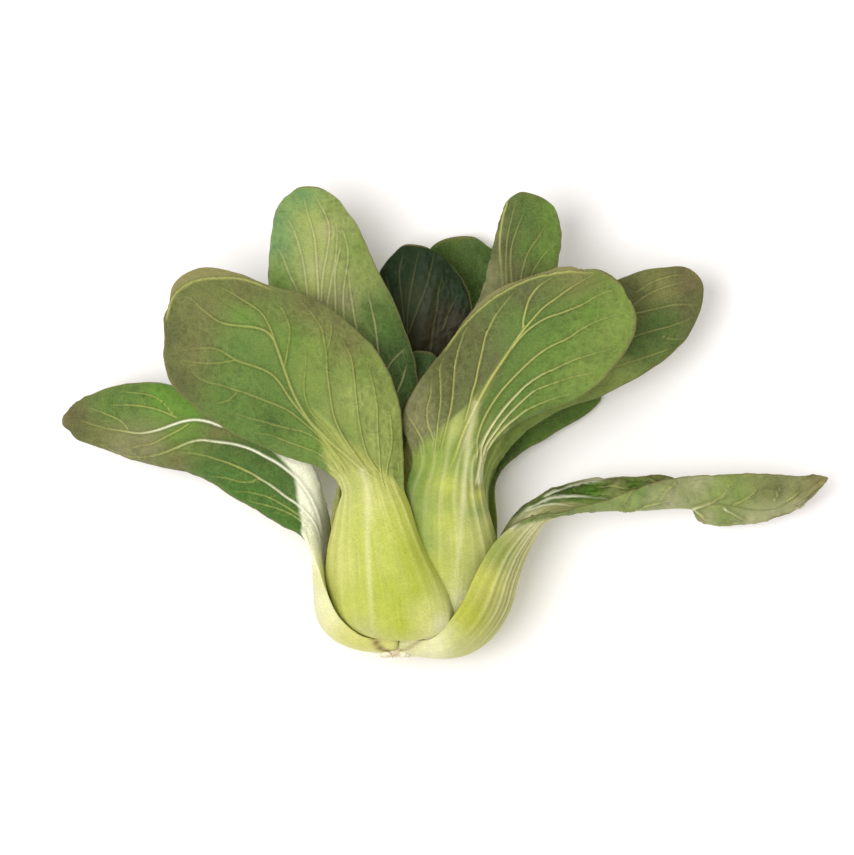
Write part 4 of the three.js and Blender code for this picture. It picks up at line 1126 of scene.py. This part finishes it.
# The colours of the outer and of the inner face.
def leaf_colours(leaf, g, green, seed):
    s, v, flat = g["s"], g["v"], g["flat"]
    # Darker between the stalk's ridges: painted shade in the furrows.
    depth, centre, spread = leaf["furrow_shade"]
    furrow_shade = depth * np.clip(1 - g["ridges"], 0, 1) * smooth(1.0, 3.5, s) * bell(v - centre, spread)
    stalk = blend_spots(flat, leaf["stalk_spots"])
    paint(stalk, CREAM, np.clip(g["ridges"] * 0.35, 0, 0.55))
    paint(stalk, leaf["furrow_shade_colour"], furrow_shade)
    shown = mix(stalk, blend_spots(flat, leaf["blade_spots"]), green[:, None])
    hidden = mix(stalk, np.array(leaf["other"]), green[:, None])

    # Veins and marks, on both faces
    mottle = ripple(flat[:, 0] / MOTTLE_SIZE, flat[:, 1] / MOTTLE_SIZE, seed + 6)
    # Streaks and mottle are the leaf's own tone; the blister and crease terms are painted light and shade
    # that follow the crinkles.
    tone = (1 + STREAK_TONE * g["streak"] * g["stalk"] + MOTTLE_TONE * mottle
            + (BLISTER_SHADING * g["blister"] * g["side"] + CREASE_SHADING * g["crease"]) * g["wing"])
    thick_vein = smooth(0.55, 1.1, g["size"])[:, None]
    vein_colour = mix(np.array(leaf["thin_vein"]), np.array(leaf["vein"]), thick_vein)
    on_green = mix(0.45, 1.0, green)
    edge = np.maximum(smooth(0.974, 0.99, np.abs(v)) * green, smooth(g["last"] - 0.08, g["last"] - 0.02, s))
    marks = [(colour, strength * vein_cover(flat, [(wide, 0.6 * wide, smooth_route(route))])[0])
             for colour, strength, wide, route in leaf["marks"]]
    for face in (shown, hidden):
        face *= (1 - VEIN_SHADE * g["shade"])[:, None]
        paint(face, leaf["thin_vein"], leaf["fine_strength"] * g["fine"] * on_green)
        paint(face, vein_colour, leaf["vein_strength"] * g["main"] * on_green)
        face *= tone[:, None]
        for colour, share in marks:
            paint(face, colour, share)
        paint(face, EDGE_BRONZE, 0.75 * edge)
    # The turned rim: a bronze band beyond its edge, and a lime line along its crest that is partly a paler
    # fold and partly a painted highlight.
    paint(shown, RIM_BRONZE, 0.6 * smooth(0, 0.35, g["rim"]))
    paint(shown, RIM_LIME, 0.65 * g["rim_edge"])
    if leaf["shows_back"]:
        return shown, hidden
    return mix(hidden, shown, leaf["shown_outside"]), shown


def leaf_mesh(name, leaf, seed):
    g = leaf_surface(name, leaf, seed)
    g.update(veins_of(name, leaf, g, np.random.default_rng(seed)))
    g.update(stalk_ridges(leaf, g, seed))
    g.update(crinkles(g, seed))
    g["rim"], g["rim_edge"] = rim_of(g["flat"], leaf["rim"])
    green = green_share(leaf, g, seed)
    colours = leaf_colours(leaf, g, green, seed)
    return mesh_from(name, leaf, leaf_faces(leaf, g), colours, green * leaf["net"])


# Builds the closed mesh of a leaf from its two faces. The face that shows keeps every row and
# column, the other keeps one in so many, and a band of triangles joins them round the margin.
def mesh_from(name, leaf, faces, colours, leafy):
    rows, columns = leaf["lines"]
    step = leaf["coarse"]
    grid = np.arange(rows * columns).reshape(rows, columns)
    kept = grid[::step, ::step]
    shows = 0 if leaf["shows_back"] else 1
    fine_loop = ring(grid)
    coarse_ids = np.arange(kept.size).reshape(kept.shape) + grid.size
    coarse_loop = ring(coarse_ids)
    wall = []
    for k, far in enumerate(coarse_loop):
        near = [fine_loop[(k * step + i) % len(fine_loop)] for i in range(step + 1)]
        half = (step + 1) // 2
        follow = coarse_loop[(k + 1) % len(coarse_loop)]
        for i in range(step):
            wall.append((near[i + 1], near[i], far if i < half else follow))
        wall.append((near[half], far, follow))
    quads = np.vstack([squares(grid), squares(coarse_ids)[:, ::-1]])
    picked = kept.ravel()
    points = np.vstack([faces[shows], faces[1 - shows][picked]]) * MM
    tint = np.clip(np.vstack([colours[shows], colours[1 - shows][picked]]), DARKEST, LIGHTEST)
    return closed_mesh(name, points, [quads, np.array(wall)], tint, np.concatenate([leafy, leafy[picked]]))


# The border of a grid of point numbers, once round.
def ring(grid):
    return np.concatenate([grid[0, :-1], grid[:-1, -1], grid[-1, :0:-1], grid[:0:-1, 0]])


def squares(grid):
    return np.stack([grid[:-1, :-1], grid[:-1, 1:], grid[1:, 1:], grid[1:, :-1]], axis=-1).reshape(-1, 4)


# A mesh from groups of faces with the same number of corners, with a colour and a share of net at
# each point.
def closed_mesh(name, points, groups, tint, leafy):
    corners = np.concatenate([group.ravel() for group in groups])
    sizes = np.concatenate([np.full(len(group), group.shape[1]) for group in groups])
    starts = np.concatenate([[0], np.cumsum(sizes)[:-1]])
    mesh = bpy.data.meshes.new(name)
    mesh.vertices.add(len(points))
    mesh.vertices.foreach_set("co", points.astype(np.float32).ravel())
    mesh.loops.add(len(corners))
    mesh.loops.foreach_set("vertex_index", corners.astype(np.int32))
    mesh.polygons.add(len(sizes))
    mesh.polygons.foreach_set("loop_start", starts.astype(np.int32))
    mesh.update(calc_edges=True)
    mesh.validate()
    mesh.shade_smooth()
    add_tint(mesh, tint)
    layer = mesh.attributes.new("leafy", "FLOAT", "POINT")
    layer.data.foreach_set("value", leafy.astype(np.float32))
    return mesh


def add_tint(mesh, tint):
    rgba = np.ones((len(tint), 4), np.float32)
    rgba[:, :3] = tint
    layer = mesh.color_attributes.new("tint", "FLOAT_COLOR", "POINT")
    layer.data.foreach_set("color", rgba.ravel())


# The cut stem, turned round an axis along the head, with a jagged, fibrous end.
def stem_mesh():
    profile = smooth_route(STEM_PROFILE)
    rings = len(profile)
    r = np.repeat(profile[:, 0], STEM_TURNS)
    y = np.repeat(profile[:, 1], STEM_TURNS)
    a = np.tile(np.linspace(0, 2 * math.pi, STEM_TURNS, endpoint=False), rings)
    end = 1 - smooth(-79.8, -78.6, y)
    bumps = 1 + 0.07 * ripple(a * 3, y * 0.8, 41) + mix(0.02, 0.07, end) * ripple(a * 10, y * 0.5, 42)
    x = STEM_AXIS[0] + r * bumps * np.cos(a)
    z = STEM_AXIS[1] + r * bumps * np.sin(a)
    y = y + 0.7 * ripple(x * 0.7, z * 0.5, 43) * bell(y + 82, 1.5)
    points = np.stack([x, y, z], axis=1)
    faces = []
    for i in range(rings - 1):
        for j in range(STEM_TURNS):
            k = (j + 1) % STEM_TURNS
            low, high = i * STEM_TURNS, (i + 1) * STEM_TURNS
            faces.append((low + j, low + k, high + k, high + j))
    mesh = bpy.data.meshes.new("stem_fine")
    mesh.from_pydata([tuple(q * MM) for q in points], [], faces)
    mesh.validate()
    mesh.shade_smooth()

    # Pale skin, tan fibres and brown stains at the cut end, and above the cut a dark brown band of painted
    # shade where the stem goes in under the leaf bases
    stains_and_shade = 0.85 * smooth(-77.7, -76.9, y)
    for place, size, strength in STEM_STAINS:
        stains_and_shade = np.maximum(stains_and_shade, strength * bell(np.linalg.norm(points - place, axis=1), size))
    fibres = smooth(-0.3, 0.8, ripple(a * 12, y * 0.4, 44) + 0.5 * ripple(x * 1.4, z * 1.4 + y, 45))
    skin = mix(np.array(CREAM), np.array(PALE_LIME), 0.5)
    cut = mix(np.array(IVORY), np.array(TAN), (0.8 * fibres)[:, None])
    colour = mix(skin, cut, end[:, None])
    paint(colour, BROWN, np.clip(stains_and_shade, 0, 1))
    add_tint(mesh, colour)
    return mesh


# Materials

# Adds a shader node. Its inputs are plain values or the outputs of other nodes.
def node(tree, kind, inputs, **settings):
    made = tree.nodes.new("ShaderNode" + kind)
    for key, value in settings.items():
        setattr(made, key, value)
    for key, value in inputs.items():
        if isinstance(value, bpy.types.NodeSocket):
            tree.links.new(value, made.inputs[key])
        else:
            made.inputs[key].default_value = value
    return made


def new_material(name, **sockets):
    material = bpy.data.materials.new(name)
    material.use_nodes = True
    shader = material.node_tree.nodes["Principled BSDF"]
    for key, value in sockets.items():
        shader.inputs[key.replace("_", " ")].default_value = value
    return material, material.node_tree, shader


def leaf_material():
    material, tree, shader = new_material(
        "bok_choy_leaf", Subsurface_Weight=0.1, Subsurface_Radius=(1.0, 0.8, 0.25),
        Subsurface_Scale=0.0015, Specular_IOR_Level=0.14)
    link = tree.links.new
    tint = node(tree, "Attribute", {}, attribute_name="tint").outputs["Color"]
    leafy = node(tree, "Attribute", {}, attribute_name="leafy").outputs["Fac"]
    place = node(tree, "TexCoord", {}).outputs["Object"]

    # Net of the finest veins
    warp = node(tree, "TexNoise", {"Scale": WARP_SCALE, "Detail": 2.0, "Vector": place})
    shift = node(tree, "VectorMath", {0: warp.outputs["Color"], 1: (WARP, WARP, WARP), 2: place},
                 operation="MULTIPLY_ADD")
    cells = node(tree, "TexVoronoi", {"Scale": NET_SCALE, "Vector": shift.outputs[0]},
                 feature="DISTANCE_TO_EDGE")
    net = node(tree, "MapRange", {"Value": cells.outputs["Distance"], "From Min": 0.0,
                                  "From Max": NET_WIDTH, "To Min": 1.0, "To Max": 0.0})
    masked = node(tree, "Math", {0: net.outputs["Result"], 1: leafy}, operation="MULTIPLY")
    faint = node(tree, "Math", {0: masked.outputs[0], 1: NET_STRENGTH}, operation="MULTIPLY")
    netted = node(tree, "MixRGB", {"Fac": faint.outputs[0], "Color1": tint, "Color2": (*PALE_LIME, 1)})

    # Fine grain
    grain = node(tree, "TexNoise", {"Scale": GRAIN_SCALE, "Detail": 3.0, "Vector": place})
    level = node(tree, "MapRange", {"Value": grain.outputs["Fac"], "To Min": 0.7, "To Max": 1.3})
    grained = node(tree, "VectorMath", {0: netted.outputs["Color"], "Scale": level.outputs["Result"]},
                   operation="SCALE")
    link(grained.outputs[0], shader.inputs["Base Color"])

    rough = node(tree, "MapRange", {"Value": leafy, "To Min": STALK_ROUGH, "To Max": BLADE_ROUGH})
    link(rough.outputs["Result"], shader.inputs["Roughness"])
    height = node(tree, "Math", {0: grain.outputs["Fac"], 1: 0.6, 2: masked.outputs[0]},
                  operation="MULTIPLY_ADD")
    bump = node(tree, "Bump", {"Strength": 0.3, "Distance": 0.00015, "Height": height.outputs[0]})
    link(bump.outputs["Normal"], shader.inputs["Normal"])
    return material


def stem_material():
    material, tree, shader = new_material("bok_choy_stem", Roughness=0.7)
    tint = node(tree, "Attribute", {}, attribute_name="tint").outputs["Color"]
    tree.links.new(tint, shader.inputs["Base Color"])
    return material


def add_piece(name, mesh, material, nodes):
    piece = bpy.data.objects.new(name, mesh)
    bpy.context.collection.objects.link(piece)
    piece.data.materials.append(material)
    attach(piece, "root")
    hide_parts(*nodes)


leaf_look = leaf_material()
for order, (name, given) in enumerate(LEAVES.items()):
    mesh = leaf_mesh(name, {**PLAIN_LEAF, **given}, FIRST_SEED + SEED_STEP * order)
    add_piece("fine_leaf_" + name, mesh, leaf_look, [f"leaf_{name}_stalk", f"leaf_{name}_blade"])
add_piece("fine_stem", stem_mesh(), stem_material(), ["stem"])


# The white surface, the light and the camera

def add_floor():
    bpy.ops.mesh.primitive_plane_add(size=FLOOR_SIZE, location=(0, 0, 0))
    floor = bpy.context.object
    floor.name = "floor"
    floor.data.materials.append(new_material("floor_white", Base_Color=FLOOR_WHITE, Roughness=0.9)[0])


def add_light(name, place, aim, size, watts, colour):
    data = bpy.data.lights.new(name, "AREA")
    data.shape = "DISK"
    data.size = size
    data.energy = watts
    data.color = colour
    lamp = bpy.data.objects.new(name, data)
    bpy.context.collection.objects.link(lamp)
    lamp.location = place
    direction = Vector(aim) - Vector(place)
    lamp.rotation_euler = direction.to_track_quat("-Z", "Y").to_euler()


def add_world(colour, strength):
    world = bpy.data.worlds.new("studio")
    world.use_nodes = True
    background = world.node_tree.nodes["Background"]
    background.inputs["Color"].default_value = colour
    background.inputs["Strength"].default_value = strength
    bpy.context.scene.world = world


# The camera looks straight down, and the frame is as wide as the photograph at the leaves' height.
def add_camera():
    data = bpy.data.cameras.new("camera")
    data.sensor_width = SENSOR
    frame_high = PHOTO_SIZE[1] * PHOTO_MM_PER_PIXEL * MM
    data.lens = SENSOR * (CAMERA_PLACE[2] - MIDDLE_HEIGHT) / frame_high
    camera = bpy.data.objects.new("camera", data)
    camera.location = CAMERA_PLACE
    bpy.context.collection.objects.link(camera)
    bpy.context.scene.camera = camera


add_floor()
add_light("key", KEY_PLACE, (0, 0, 0), KEY_SIZE, KEY_WATTS, (1.0, 1.0, 1.0))
add_world(WORLD_COLOUR, WORLD_STRENGTH)
bpy.context.scene.view_settings.view_transform = "Standard"
add_camera()
